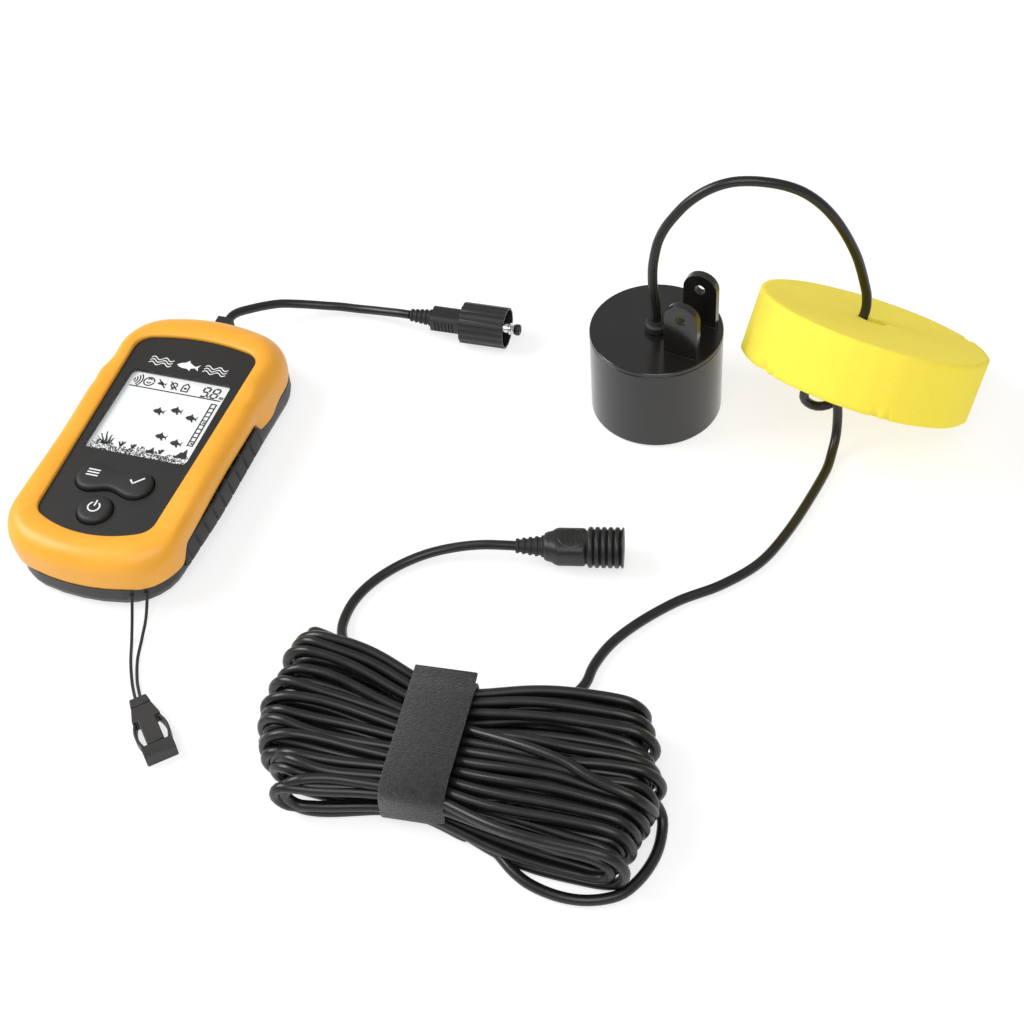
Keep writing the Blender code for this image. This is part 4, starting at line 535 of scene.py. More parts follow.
def curl():
    """One turn under the float: a circle in an upright plane, moving slowly towards -Y."""
    angle = np.radians(np.arange(0, -361, -30))[:, None]
    toward = np.array([CURL_RIGHT[1], -CURL_RIGHT[0], 0.0])
    drift = toward * CURL_PITCH * (-angle / (2 * np.pi))
    return CURL_CENTRE + CURL_RADIUS * (CURL_RIGHT * np.cos(angle) + UP * np.sin(angle)) + drift


HANK_REACH = 0.0640             # from the hank's middle to the cable's line at the tip of an end bend
STRAP_AT = STRAP_X - HANK_CENTRE[0]
OUTER_HALF = 0.0086             # half the height of an outer turn at the ends, and so its bend's radius
STRAP_HALF = 0.0060             # the same under the strap
INNER_STEP = 0.0031             # an inner turn lies this much inside an outer one
LANE = 0.00345                  # between neighbouring turns at the strap
FAN = 0.40                      # how much the turns spread away from the strap
OUTER_TURNS = 12
INNER_TURNS = 13
TOP_SHARE = 0.38                # of a turn's length, each of its two straights


def turn_ends(lane, rng, spread):
    """How far each turn reaches left and right: less for the outside lanes, with some scatter."""
    across = np.asarray(lane) / (5.5 * LANE)
    left = HANK_REACH - 0.0150 * np.clip(-across, 0, 2) ** 1.7 - 0.0010 * np.clip(across, 0, 2) ** 2
    right = HANK_REACH + 0.0010 - 0.0090 * np.clip(across, 0, 2) ** 2 - 0.0030 * np.clip(-across, 0, 2) ** 2
    left = left + rng.uniform(-1, 1, len(lane)) * spread
    right = right + rng.uniform(-1, 1, len(lane)) * spread * 0.7
    return left, right


def smoothed(values):
    """A running mean over nineteen samples, weighted by one hump of a cosine."""
    window = np.hanning(19)
    return np.convolve(np.pad(values, 9, mode="edge"), window / window.sum(), mode="valid")


def winding(turns, top_left, top_right, bottom, ends, inward, lift, seed):
    """The line of a stretch of upright turns, in the hank's own frame.

    A turn runs right along the top, round the right bend, left along the bottom and round the left bend.
    Its sideways place goes from one lane to the next by smoothed steps and widens away from the strap; its
    height is a half circle at each end and narrows under the strap; slow sine waves stir every strand, and
    near the right end the strands part to both sides of the middle.
    """
    whole = np.floor(turns).astype(int) + 1
    u = turns - np.floor(turns)
    left, right = ends
    half = OUTER_HALF - inward
    bend = 0.5 - TOP_SHARE
    share_top = np.clip(u / TOP_SHARE, 0, 1)
    share_right = np.clip((u - TOP_SHARE) / bend, 0, 1)
    share_foot = np.clip((u - 0.5) / TOP_SHARE, 0, 1)
    share_left = np.clip((u - 0.5 - TOP_SHARE) / bend, 0, 1)
    before = np.maximum(whole - 1, 0)
    start = -(left[before] - half)
    stop = right[whole] - half
    back = -(left[whole] - half)
    x = np.where(u < 0.5, start + (stop - start) * share_top, stop + (back - stop) * share_foot)
    angle = np.where(u < 0.5, np.pi / 2 - np.pi * share_right, -np.pi / 2 - np.pi * share_left)
    x = x + half * np.cos(angle) * np.where((share_right > 0) & (u < 0.5) | (share_left > 0), 1, 0)
    side = np.sin(angle)
    stations = np.arange(len(top_left))[:, None] - 1 + np.array([0.0, 0.17, 0.40, 0.58, 0.82])
    following = np.append(top_left[1:], top_left[-1])
    places = np.stack([top_left, top_left + 0.12 * (top_right - top_left), top_right,
                       bottom + 0.3 * (following - top_left), bottom + 0.7 * (following - top_left)], 1)
    y = np.interp(turns, stations.reshape(-1), places.reshape(-1))
    raised = lift[:, None] * np.array([0.0, 0.2, 1.0, 0.2, 0.0])
    rise = np.interp(turns, stations.reshape(-1), raised.reshape(-1))
    rise = smoothed(rise)
    away = 1 - np.exp(-((x - STRAP_AT) / 0.025) ** 2)
    y = smoothed(y) * (1 + FAN * away)
    rng = np.random.default_rng(seed)
    phase = rng.uniform(0, 2 * np.pi, (len(left), 3))
    pace = 1 / rng.uniform(0.014, 0.022, (len(left), 3))
    stir = np.sin(x * pace[whole, 0] + phase[whole, 0]) * 0.0012
    stir = stir + np.sin(x * pace[whole, 1] * 0.5 + phase[whole, 1]) * 0.0016
    y = y + smoothed(stir) * away
    tall = STRAP_HALF + (OUTER_HALF - STRAP_HALF) * (1 - np.exp(-((x - STRAP_AT) / 0.027) ** 2))
    middle = tall + CABLE_RADIUS + 5e-5
    bob = smoothed(np.sin(x * pace[whole, 2] + phase[whole, 2]) * 0.0006) * away
    z = middle + side * (tall - inward + bob) + rise * np.clip(side, 0, 1)
    gap = y - 0.0002 + 0.0015 * side
    part = np.exp(-np.abs(gap) / 0.006) * np.clip((x - 0.036) / 0.014, 0, 1)
    y = y + 0.0026 * np.tanh(gap / 0.0006) * part
    return np.stack([HANK_CENTRE[0] + x, HANK_CENTRE[1] + y, np.maximum(z, CABLE_RADIUS + 5e-5)], 1)


def inner_winding():
    """Thirteen inner turns from the far side to the near side, then one strand slanting to the right end."""
    rng = np.random.default_rng(5)
    lane = (np.arange(INNER_TURNS - 1, -1, -1) - 6) * LANE * 0.97
    top_left = np.concatenate([[lane[0] + 0.001], lane, [-0.0190]])
    top_right = np.concatenate([[lane[0] + 0.001], lane, [0.0002]])
    bottom = np.concatenate([[lane[0] + 0.002], lane - 0.0012, [0.0]])
    left, right = turn_ends(top_left, rng, 0.0010)
    turns = np.linspace(-0.25, INNER_TURNS + 0.30, 150 * INNER_TURNS)
    return winding(turns, top_left, top_right, bottom, (left - 0.0032, right - 0.0032), INNER_STEP,
                   np.zeros(len(left)), 21)


def outer_winding():
    """Twelve outer turns from the near side to the far side; one of them slants across on top."""
    rng = np.random.default_rng(8)
    lane = (np.arange(OUTER_TURNS) - 5.5) * LANE
    top_left = np.concatenate([[-0.0205], lane])
    top_right = top_left.copy()
    top_right[9] = -0.0052
    lift = np.zeros(len(top_left))
    lift[9] = 0.0030
    bottom = np.concatenate([[-0.0205], lane - 0.0012])
    bottom[-1] = 0.0205
    left, right = turn_ends(top_left, rng, 0.0018)
    right[9] += 0.0030
    turns = np.linspace(-0.34, OUTER_TURNS - 1 + 0.80, 150 * OUTER_TURNS)
    return winding(turns, top_left, top_right, bottom, (left, right), 0.0, lift, 34)


def held_by_slot(path):
    """The line with its stretch through the float laid on the slot's way, fading out past both faces."""
    local = (path - FLOAT_TOP) @ float_turn()
    outside = np.maximum(local[:, 2], -FLOAT_THICKNESS - local[:, 2])
    away = local[:, :2] - np.array(FLOAT_CABLE)
    hold = (1 - step(outside, 0.0006, 0.0050)) * (1 - step(np.hypot(away[:, 0], away[:, 1]), 0.0015, 0.0040))
    local[:, :2] -= away * hold[:, None]
    return FLOAT_TOP + local @ float_turn().T


def sensor_cable():
    """The whole sensor cable: arch, float, curl, run, inner turns, loose loop, outer turns, tail."""
    first = curve_through(np.vstack([ARCH_ROUTE, float_line(), curl(), RUN_ROUTE, SIDE_ROUTE]), 0.0012)
    loop = curve_through(np.vstack([DROP_ROUTE, LOOP_ROUTE]), 0.0012)
    tail = curve_through(TAIL_ROUTE, 0.0012)
    path = np.vstack([first, inner_winding(), loop, outer_winding(), tail])
    joined = even(path, 0.0020)
    smooth = even(curve_through(np.vstack([joined[:-2:3], joined[-1:]]), 0.0020), 0.0019)
    smooth = held_by_slot(smooth)
    smooth[:, 2] = np.maximum(smooth[:, 2], CABLE_RADIUS + 2e-5)
    return smooth


def make_cables():
    """The handset's short lead and the sensor cable, each as one tube along its line."""
    lead = curve_through(LEAD_ROUTE, 0.0015)
    piece = tube("short_lead", lead, CABLE_RADIUS, "cable", sides=20)
    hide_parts("lead_cable")
    long_path = sensor_cable()
    piece = tube("sensor_lead", long_path, CABLE_RADIUS, "cable", sides=14)
    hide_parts("sensor_cable", "cable_loose_loop", "cable_tail", "cable_hank")


def make_strap():
    """A felt band with its free end showing: a flat section carried along a rounded, open path.

    The path is a superellipse round the bundle, a little over one turn, whose size grows by one thickness
    so that it covers its own start; it ends straight, lifting off the far top edge.
    """
    angle = np.radians(np.linspace(104, -306, 130))
    half_y, half_z, middle = 0.0228, 0.0086, 0.0094
    power = 0.46
    grown = np.linspace(0.0, 0.0015, len(angle)) * np.linspace(0.4, 1.0, len(angle))
    y = (half_y + grown) * np.sign(np.cos(angle)) * np.abs(np.cos(angle)) ** power
    z = middle + (half_z + grown) * np.sign(np.sin(angle)) * np.abs(np.sin(angle)) ** power
    line = np.stack([np.zeros(len(y)), y, z], 1)
    heading = line[-1] - line[-4]
    heading /= np.linalg.norm(heading)
    free = line[-1] + np.linspace(0.0008, 0.0052, 7)[:, None] * (heading + np.array([0.0, 0.0, 0.12]))
    line = even(np.vstack([line, free]), 0.0011)
    line[:, 2] = np.maximum(line[:, 2], 0.00075)
    direction = np.gradient(line, axis=0)
    direction /= np.linalg.norm(direction, axis=1)[:, None]
    outward = np.cross(direction, np.array([1.0, 0.0, 0.0]))
    half = 0.01025
    thick = 0.00065
    inner = half - 0.0003
    corner = np.array([(-half, -thick * 0.6), (-inner, -thick), (inner, -thick), (half, -thick * 0.6),
                       (half, thick * 0.6), (inner, thick), (-inner, thick), (-half, thick * 0.6)])
    across = np.array([1.0, 0.0, 0.0])
    grid = line[:, None, :] + corner[None, :, 0:1] * across + corner[None, :, 1:2] * outward[:, None, :]
    grid[:, :, 0] += 0.0004 * np.sin(np.linspace(0, 9, len(line)))[:, None]
    points = grid.reshape(-1, 3) @ about_z(STRAP_TURN).T + np.array([STRAP_X, HANK_CENTRE[1], 0.0])
    faces = grid_faces(len(line), len(corner))
    piece = new_piece("hank_band", points, faces, "felt", sharp=60)
    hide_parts("hank_strap")


# ================================================================ handset

# An outline's sizes: half width, distance from the middle, corner radius and end radius, each top then foot.
CASE_LINE = (0.0337, 0.0327, 0.0640, 0.0640, 0.0190, 0.0168, 0.070, 0.070)
PANEL_LINE = (0.0248, 0.0225, 0.0482, 0.0517, 0.0070, 0.0070, 0.080, 0.042)
PARTING = 0.0103                # height of the line between the orange shell and the black one
CREST = 0.0244                  # the orange shell's highest line
GRIP_FOOT, GRIP_TOP = -0.0448, 0.0192
GRIP_MIDDLE = 0.0100
KEY_RISE = 0.0021
DOUBLE_KEY_PLACE = (-0.0006, -0.0267)
DOUBLE_KEY_SPREAD = 0.0084      # from the double key's middle to each lobe's


def bowed_end(half_width, end_y, corner, end_radius):
    """One end of an outline, right side to left: a corner arc, a shallow end arc and a corner arc."""
    lean = math.asin((half_width - corner) / (end_radius - corner))
    centre_x = half_width - corner
    centre_y = end_y - end_radius + (end_radius - corner) * math.cos(lean)
    first = np.linspace(0, np.pi / 2 - lean, 24)
    across = np.linspace(np.pi / 2 - lean, np.pi / 2 + lean, 40)[1:-1]
    last = np.linspace(np.pi / 2 + lean, np.pi, 24)
    x = np.concatenate([centre_x + corner * np.cos(first), end_radius * np.cos(across),
                        -centre_x + corner * np.cos(last)])
    y = np.concatenate([centre_y + corner * np.sin(first), end_y - end_radius + end_radius * np.sin(across),
                        centre_y + corner * np.sin(last)])
    return np.stack([x, y], 1)


def outline(sizes, count=360):
    """A closed outline with two bowed ends joined by straight sides, sampled evenly along its length."""
    half_top, half_foot, top_y, foot_y, corner_top, corner_foot, radius_top, radius_foot = sizes
    top = bowed_end(half_top, top_y, corner_top, radius_top)
    foot = -bowed_end(half_foot, foot_y, corner_foot, radius_foot)
    ring = np.vstack([top, foot, top[:1]])
    steps = np.concatenate([[0.0], np.cumsum(np.linalg.norm(np.diff(ring, axis=0), axis=1))])
    at = np.linspace(0, steps[-1], count, endpoint=False)
    return np.stack([np.interp(at, steps, ring[:, 0]), np.interp(at, steps, ring[:, 1])], 1)


def at_angles(ring, angles):
    """Where rays at the given angles from the middle meet a closed outline."""
    bearing = np.unwrap(np.arctan2(ring[:, 1], ring[:, 0]))
    reach = np.linalg.norm(ring, axis=1)
    order = np.argsort(bearing)
    bearing, reach = bearing[order], reach[order]
    bearing = np.concatenate([bearing - 2 * np.pi, bearing, bearing + 2 * np.pi])
    reach = np.tile(reach, 3)
    wanted = np.mod(angles - bearing[len(ring)], 2 * np.pi) + bearing[len(ring)]
    reach = np.interp(wanted, bearing, reach)
    return np.stack([reach * np.cos(angles), reach * np.sin(angles)], 1)


def step(value, start, stop):
    """0 before start, 1 after stop, and a smooth rise between."""
    share = np.clip((value - start) / (stop - start), 0, 1)
    return share * share * (3 - 2 * share)


def sculpted(ring):
    """The case outline with full shoulders, a shallow notch under each and fuller foot corners."""
    y = ring[:, 1]
    out = -0.0005 * np.exp(-((y - 0.0200) / 0.0030) ** 2) - 0.0004 * np.exp(-((y + 0.010) / 0.018) ** 2)
    sides = step(np.abs(ring[:, 0]), 0.018, 0.030)
    return ring + np.stack([np.sign(ring[:, 0]) * out * sides, np.zeros(len(y))], 1)


def grip_share(y):
    """1 along the stretch of the side that carries a grip and 0 elsewhere, with rounded shoulders."""
    return step(y, -0.0470, -0.0405) * (1 - step(y, 0.0175, 0.0215))


def make_bumper():
    """The orange front shell: a closed section carried round between the panel's and the case's outlines.

    At every bearing the section runs from the panel's edge over a soft crest, falls in a round shoulder to
    the case's outline, drops to its lower edge and returns inside one wall thickness further in. The lower
    edge is raised along the grips and dips at the tips under the shoulders.
    """
    case = outline(CASE_LINE, 420)
    angles = np.arctan2(case[:, 1], case[:, 0])
    outer = sculpted(case)
    inner = at_angles(outline(PANEL_LINE, 720), angles)
    gap = np.linalg.norm(outer - inner, axis=1)
    y = outer[:, 1]
    side = step(np.abs(outer[:, 0]), 0.024, 0.029)
    lower = PARTING + side * grip_share(y) * 0.0055
    lower = lower - 0.0008 * step(-y, 0.052, 0.062)
    rounded = 0.0052 + 0.0050 * step(y, 0.026, 0.039) + 0.0020 * step(-y, 0.044, 0.058)
    rounded = np.minimum(rounded, gap - 0.0013)[:, None]
    slope = np.linspace(np.pi / 2, 0, 16)[None, :]
    shoulder_z = CREST - rounded * (1 - np.sin(slope))
    facet = 0.0007 * side * np.exp(-((y - 0.031) / 0.006) ** 2)
    facet = facet + 0.0004 * np.exp(-((y + 0.0575) / 0.004) ** 2)
    shoulder_in = rounded * (1 - np.cos(slope)) + facet[:, None] * np.sin(np.pi * np.linspace(0, 1, 16)) ** 2
    fall = np.linspace(0, 1, 9)[1:][None, :]
    start = CREST - rounded
    fall_z = start + (lower[:, None] + 0.0003 - start) * fall
    flare = 0.0015 * side * np.exp(-((y - 0.0275) / 0.0065) ** 2)
    fall_in = 0.0004 * fall ** 3 - flare[:, None] * fall ** 1.5
    inner_in = gap[:, None] + np.array([[0.0, 0.0, -0.0002, -0.0008]])
    inner_z = np.array([[0.0226, 0.0236, 0.0240, 0.02438]]) * np.ones((len(y), 1))
    turned_in = np.array([[0.0007, 0.0018]]) - flare[:, None] * np.array([[0.9, 0.2]])
    turned_z = lower[:, None] + np.array([[0.0, 0.0001]])
    back_in = np.stack([np.full(len(y), 0.0020), np.full(len(y), 0.0052), gap - 0.0006], 1)
    back_z = np.array([[0.0186, 0.0208, 0.0216]]) * np.ones((len(y), 1))
    inset_all = np.hstack([inner_in, shoulder_in, fall_in, turned_in, back_in])
    height = np.hstack([inner_z, shoulder_z, fall_z, turned_z, back_z])
    share = 1 - inset_all / gap[:, None]
    flat = inner[:, None, :] + (outer - inner)[:, None, :] * share[:, :, None]
    grid = np.concatenate([flat, height[:, :, None]], 2)
    rows, columns = height.shape
    faces = grid_faces(rows, columns, along=True, ends=False)
    piece = new_piece("orange_bumper", grid.reshape(-1, 3), faces, "orange", sharp=50)
    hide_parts("front_shell")


def make_side_grip(name, node, sign):
    """A side grip: a skin over the case's side, full in the middle, crossed by slanting grooves.

    It is a grid over the length and the height of the side. It stands out by a low arch in both directions
    and each groove is a narrow bell-shaped dip; its lower edge follows the case's round foot.
    """
    length = np.linspace(GRIP_FOOT, GRIP_TOP, 261)[:, None]
    rise = np.linspace(0, 1, 33)[None, :]
    ends = np.minimum((length - GRIP_FOOT) / 0.0044, (GRIP_TOP - length) / 0.0036)
    ends = np.sqrt(np.clip(ends * (2 - np.clip(ends, 0, 1)), 0, 1))
    z = GRIP_MIDDLE + 0.0060 * ends * (2 * rise - 1)
    case = outline(CASE_LINE, 1200)
    right = case[(case[:, 0] > 0) & (np.abs(case[:, 1]) < 0.056)]
    order = np.argsort(right[:, 1])
    reach = np.interp(length[:, 0], right[order, 1], right[order, 0])[:, None]
    reach = reach + 0.0006 - 0.0012 * step(-length, 0.016, 0.044)
    belly = -0.0020 * np.clip((0.0080 - z) / 0.0040, 0, 1) ** 2
    arch = 0.0007 * np.sin(np.pi * rise) ** 0.5 * ends
    slant = length + 0.18 * (z - 0.011)
    across = np.mod(slant + 0.0385, 0.0064) - 0.0032     # from the nearest groove, one each 6.4 mm
    within = step(slant, -0.0435, -0.0405) * (1 - step(slant, 0.0145, 0.0170))
    groove = 0.0008 * np.exp(-(across / 0.00042) ** 2) * within
    groove = groove * np.sin(np.pi * np.clip(rise, 0.02, 0.98)) ** 0.35
    x = reach + belly + arch - groove
    grid = np.stack([sign * x, length * np.ones_like(z), z], 2)
    faces = grid_faces(grid.shape[0], grid.shape[1], around=False, ends=False)
    if sign > 0:
        faces = [face[::-1] for face in faces]
    piece = new_piece(name, grid.reshape(-1, 3), faces, "rubber", sharp=50)
    thick = piece.modifiers.new("wall", "SOLIDIFY")
    thick.thickness = 0.0022
    thick.offset = -1.0
    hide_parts(node)


def make_key(name, node, place, spread, radius, neck):
    """A domed key: its outline drawn in ring by ring towards its spine while it rises along a round edge.

    The outline is two lobes whose half width falls to the neck by a cosine between them; with no spread it
    is a circle.
    """
    around = np.linspace(0, 2 * np.pi, 120, endpoint=False)
    x = (spread + radius) * np.cos(around)
    beyond = np.clip((np.abs(x) - spread) / radius, 0, 1)
    half = radius * np.sqrt(np.clip(1 - beyond ** 2, 0, 1))
    if spread > 0:
        inside = np.clip(np.abs(x) / spread, 0, 1)
        half = np.where(np.abs(x) < spread, neck + (radius - neck) * (1 - np.cos(np.pi * inside)) / 2, half)
    y = half * np.sign(np.sin(around))
    spine = np.clip(x, -spread, spread)
    drawn = np.array([0.985, 1.0, 1.0, 0.97, 0.92, 0.86, 0.78, 0.66, 0.50, 0.32, 0.16, 0.05])[:, None]
    height = np.array([-0.0012, -0.0009, 0.0004, 0.0011, 0.00155, 0.0018, 0.00195, 0.00202, 0.00206, 0.00208,
                       KEY_RISE, KEY_RISE])[:, None]
    px = spine + (x - spine) * drawn
    py = y * drawn
    grid = np.stack([place[0] + px, place[1] + py, PANEL_TOP + height * np.ones_like(px)], 2)
    piece = new_piece(name, grid.reshape(-1, 3), grid_faces(len(drawn), len(around)), "keys",
                      body=BODY_OF[node], sharp=60)
    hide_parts(node)


# ---------------------------------------------------------------- flat marks

def bar(x0, y0, x1, y1, width):
    """A straight stroke between two points."""
    start, stop = np.array([x0, y0]), np.array([x1, y1])
    along = (stop - start) / np.linalg.norm(stop - start)
    side = np.array([-along[1], along[0]]) * width / 2
    return np.array([start - side, stop - side, stop + side, start + side])


def arc(x, y, radius, width, start, stop):
    """A part of a ring, between two angles in degrees."""
    angle = np.radians(np.linspace(start, stop, 28))
    ring = np.stack([np.cos(angle), np.sin(angle)], 1)
    return np.array([x, y]) + np.vstack([ring * (radius + width / 2), (ring * (radius - width / 2))[::-1]])


def blob(x, y, across, up, corners):
    """A small ellipse with the given number of corners."""
    angle = np.linspace(0, 2 * np.pi, corners, endpoint=False)
    return np.stack([x + across * np.cos(angle), y + up * np.sin(angle)], 1)


def fish(x, y, size):
    """A fish seen from its left side: a pointed body with a back fin, a belly fin and a forked tail."""
    points = np.array([(-0.78, -0.18), (-0.40, -0.30), (0.0, -0.30), (0.30, -0.50), (0.30, -0.22),
                       (0.62, -0.10), (1.0, -0.36), (0.86, 0.0), (1.0, 0.36), (0.66, 0.06), (0.40, 0.16),
                       (0.06, 0.36), (-0.10, 0.62), (-0.36, 0.34), (-0.72, 0.22), (-1.0, 0.0)])
    return np.array([x, y]) + points * size


def digit(x, y, height, segments):
    """A seven-segment figure, leaning slightly right; segments are named a to g."""
    half = height / 2
    wide = height * 0.52
    stroke = height * 0.15
    lines = {
        "a": (0, 2, 1, 2), "b": (1, 2, 1, 1), "c": (1, 1, 1, 0), "d": (0, 0, 1, 0),
        "e": (0, 0, 0, 1), "f": (0, 1, 0, 2), "g": (0, 1, 1, 1)}
    shapes = []
    for key in segments:
        x0, y0, x1, y1 = lines[key]
        trim = stroke * 0.42
        dx, dy = np.sign(x1 - x0) * trim, np.sign(y1 - y0) * trim
        shape = bar(x0 * wide + dx, y0 * half + dy, x1 * wide - dx, y1 * half - dy, stroke)
        shape[:, 0] += 0.14 * shape[:, 1]
        shapes.append(shape + np.array([x, y]))
    return shapes


def prisms(name, shapes, low, high, finish, body=BASE, place=(0.0, 0.0), turn=0.0):
    """Flat marks: each outline carried straight up from the low height to the high one and closed."""
    points, faces = [], []
    first = 0
    for shape in shapes:
        area = np.sum(shape[:, 0] * np.roll(shape[:, 1], -1) - np.roll(shape[:, 0], -1) * shape[:, 1])
        shape = shape if area > 0 else shape[::-1]
        flat = np.array(place) + shape @ about_z(turn)[:2, :2].T
        count = len(flat)
        points += [np.hstack([flat, np.full((count, 1), height)]) for height in (low, high)]
        ring = first + np.arange(count)
        ahead = first + (np.arange(count) + 1) % count
        faces += np.stack([ring, ahead, ahead + count, ring + count], 1).tolist()
        faces += [ring[::-1].tolist(), (ring + count).tolist()]
        first += 2 * count
    return new_piece(name, np.vstack(points), faces, finish, body=body, sharp=30)


def display_signs():
    """The row of signs over the picture: sound waves, a face, a crossed fish, a crossed lamp, and a house."""
    thin = 0.013
    shapes = [bar(0.02, 0.838, 0.972, 0.838, 0.012)]
    shapes += [arc(0.014, 0.920, 0.026 + 0.026 * k, 0.012, -46, 46) for k in range(4)]
    shapes += [arc(0.190, 0.922, 0.052, thin, 4, 356)]
    shapes += [arc(0.190, 0.938, 0.020, thin, 15, 165), arc(0.190, 0.922, 0.020, thin, 195, 345)]
    shapes += [fish(0.325, 0.922, 0.050), bar(0.280, 0.970, 0.372, 0.876, thin)]
    shapes += [arc(0.450, 0.930, 0.030, thin, 4, 356), bar(0.450, 0.902, 0.450, 0.872, 0.024)]
    shapes += [bar(0.404, 0.970, 0.496, 0.876, thin)]
    shapes += [bar(0.540, 0.876, 0.540, 0.945, thin), bar(0.604, 0.876, 0.604, 0.945, thin)]
    shapes += [bar(0.535, 0.876, 0.609, 0.876, thin), bar(0.540, 0.943, 0.572, 0.975, thin)]
    shapes += [bar(0.604, 0.943, 0.572, 0.975, thin), blob(0.572, 0.914, 0.015, 0.015, 8)]
    return shapes


def display_depth():
    """The depth figure: two digits, a point and a small unit mark."""
    shapes = digit(0.745, 0.858, 0.118, "abcdfg") + digit(0.845, 0.858, 0.118, "abcdefg")
    shapes += [blob(0.826, 0.862, 0.010, 0.010, 8)]
    shapes += [bar(x, 0.858, x, 0.882, 0.009) for x in (0.944, 0.960, 0.976)]
    shapes += [bar(0.940, 0.884, 0.980, 0.884, 0.008)]
    return shapes


def display_water():
    """Five fish with a fin below each, and the depth scale with its rungs and two marks."""
    shapes = []
    for x, y in ((0.456, 0.584), (0.618, 0.629), (0.795, 0.572), (0.618, 0.294), (0.791, 0.246)):
        shapes.append(fish(0.0, 0.0, 0.060) * np.array([1.0, 1.45]) + np.array([x, y]))
        shapes.append(bar(x + 0.010, y - 0.012, x + 0.026, y - 0.046, 0.014))
    shapes += [bar(x, 0.245, x, 0.790, 0.012) for x in (0.905, 0.955)]
    shapes += [bar(0.905, 0.249 + 0.0537 * k, 0.955, 0.249 + 0.0537 * k, 0.012) for k in range(11)]
    shapes += [bar(0.925, y, 0.945, y, 0.018) for y in (0.276, 0.544)]
    return shapes


def display_bottom():
    """The bottom: bent weed leaves that narrow upwards, branched weed, two rocks and scattered gravel."""
    shapes = []
    for x, lean, height in ((0.115, -0.05, 0.12), (0.130, -0.02, 0.15), (0.143, 0.03, 0.12),
                            (0.120, -0.08, 0.08), (0.150, 0.06, 0.09)):
        up = np.linspace(0, 1, 9)
        middle = x + lean * up + 0.010 * np.sin(5 * up)
        width = 0.014 * (1 - 0.7 * up)
        level = 0.085 + height * up
        leaf = [np.stack([middle + width, level], 1), np.stack([middle - width, level], 1)[::-1]]
        shapes.append(np.vstack(leaf))
    for x, size in ((0.30, 0.034), (0.42, 0.026), (0.70, 0.026)):
        shapes.append(bar(x, 0.09, x - size, 0.11 + size, 0.015))
        shapes += [bar(x, 0.09, x + lean * size, 0.12 + size, 0.015) for lean in (0.8, 0.0)]
    shapes += [np.array([(0.555, 0.082), (0.645, 0.078), (0.628, 0.118), (0.612, 0.156), (0.597, 0.124),
                         (0.582, 0.112)]),
               np.array([(0.830, 0.085), (0.965, 0.085), (0.948, 0.150), (0.930, 0.205), (0.905, 0.155),
                         (0.885, 0.158), (0.862, 0.115)])]
    rng = np.random.default_rng(3)
    dot_x = rng.uniform(0.015, 0.985, 620)
    dot_top = 0.105 + 0.022 * np.sin(dot_x * 15) + 0.012 * np.sin(dot_x * 41)
    dot_y = 0.012 + rng.uniform(0, 1, 620) * (dot_top - 0.012)
    return shapes + [blob(x, y, 0.0062, 0.0054, 5) for x, y in zip(dot_x, dot_y)]


def make_display_picture():
    """The display's dark segments, drawn in shares of the screen's width and height."""
    shapes = display_signs() + display_depth() + display_water() + display_bottom()
    scaled = [(shape - 0.5) * np.array(SCREEN_SIZE) for shape in shapes]
    prisms("display_segments", scaled, DISPLAY_TOP + 0.00002, DISPLAY_TOP + 0.00010, "ink",
           place=(0.0, SCREEN_Y))


def wave(x, y, length):
    """A thin stroke that follows two periods of a sine."""
    along = np.linspace(0, 1, 40)
    top = np.stack([x + along * length, y + 0.0007 * np.sin(along * 4 * np.pi) + 0.00024], 1)
    return np.vstack([top, (top - np.array([0.0, 0.00048]))[::-1]])


def make_panel_marks():
    """White marks: a fish between waves over the screen, and simple signs on the three key faces."""
    shapes = [fish(0.0, 0.0341, 0.0046)]
    for y in (0.0327, 0.0341, 0.0355):
        shapes += [wave(-0.0158, y, 0.0094), wave(0.0064, y, 0.0094)]
    prisms("panel_print", shapes, PANEL_TOP - 0.00010, PANEL_TOP + 0.00004, "print")
    top = PANEL_TOP + KEY_RISE
    low, high = top - 0.0003, top + 0.00003
    menu = [bar(-0.0023, dy, 0.0023, dy, 0.00055) for dy in (-0.0013, 0.0, 0.0013)]
    tick = [bar(-0.0022, 0.0, -0.0006, -0.0016, 0.0006), bar(-0.0008, -0.0016, 0.0026, 0.0018, 0.0006)]
    left = [shape + np.array([-DOUBLE_KEY_SPREAD, 0.0009]) for shape in menu]
    right = [shape + np.array([DOUBLE_KEY_SPREAD, 0.0009]) for shape in tick]
    prisms("double_key_print", left + right, low, high, "print", body=BODY_OF["setup_enter_key"],
           place=DOUBLE_KEY_PLACE)
    sign = [arc(0.0, 0.0, 0.0021, 0.00055, 122, 418), bar(0.0, 0.0003, 0.0, 0.0030, 0.00055)]
    prisms("power_key_print", sign, low, high, "print", body=BODY_OF["power_key"],
           place=(-0.0014, -0.0406))


# ---------------------------------------------------------------- lanyard

BUCKLE_START = np.array([0.0382, -0.0984, 0.0])
BUCKLE_TURN = math.radians(-46.5)
CORD_HOLES = np.array([(0.01875, -0.06145, 0.0070), (0.02325, -0.05885, 0.0070)])


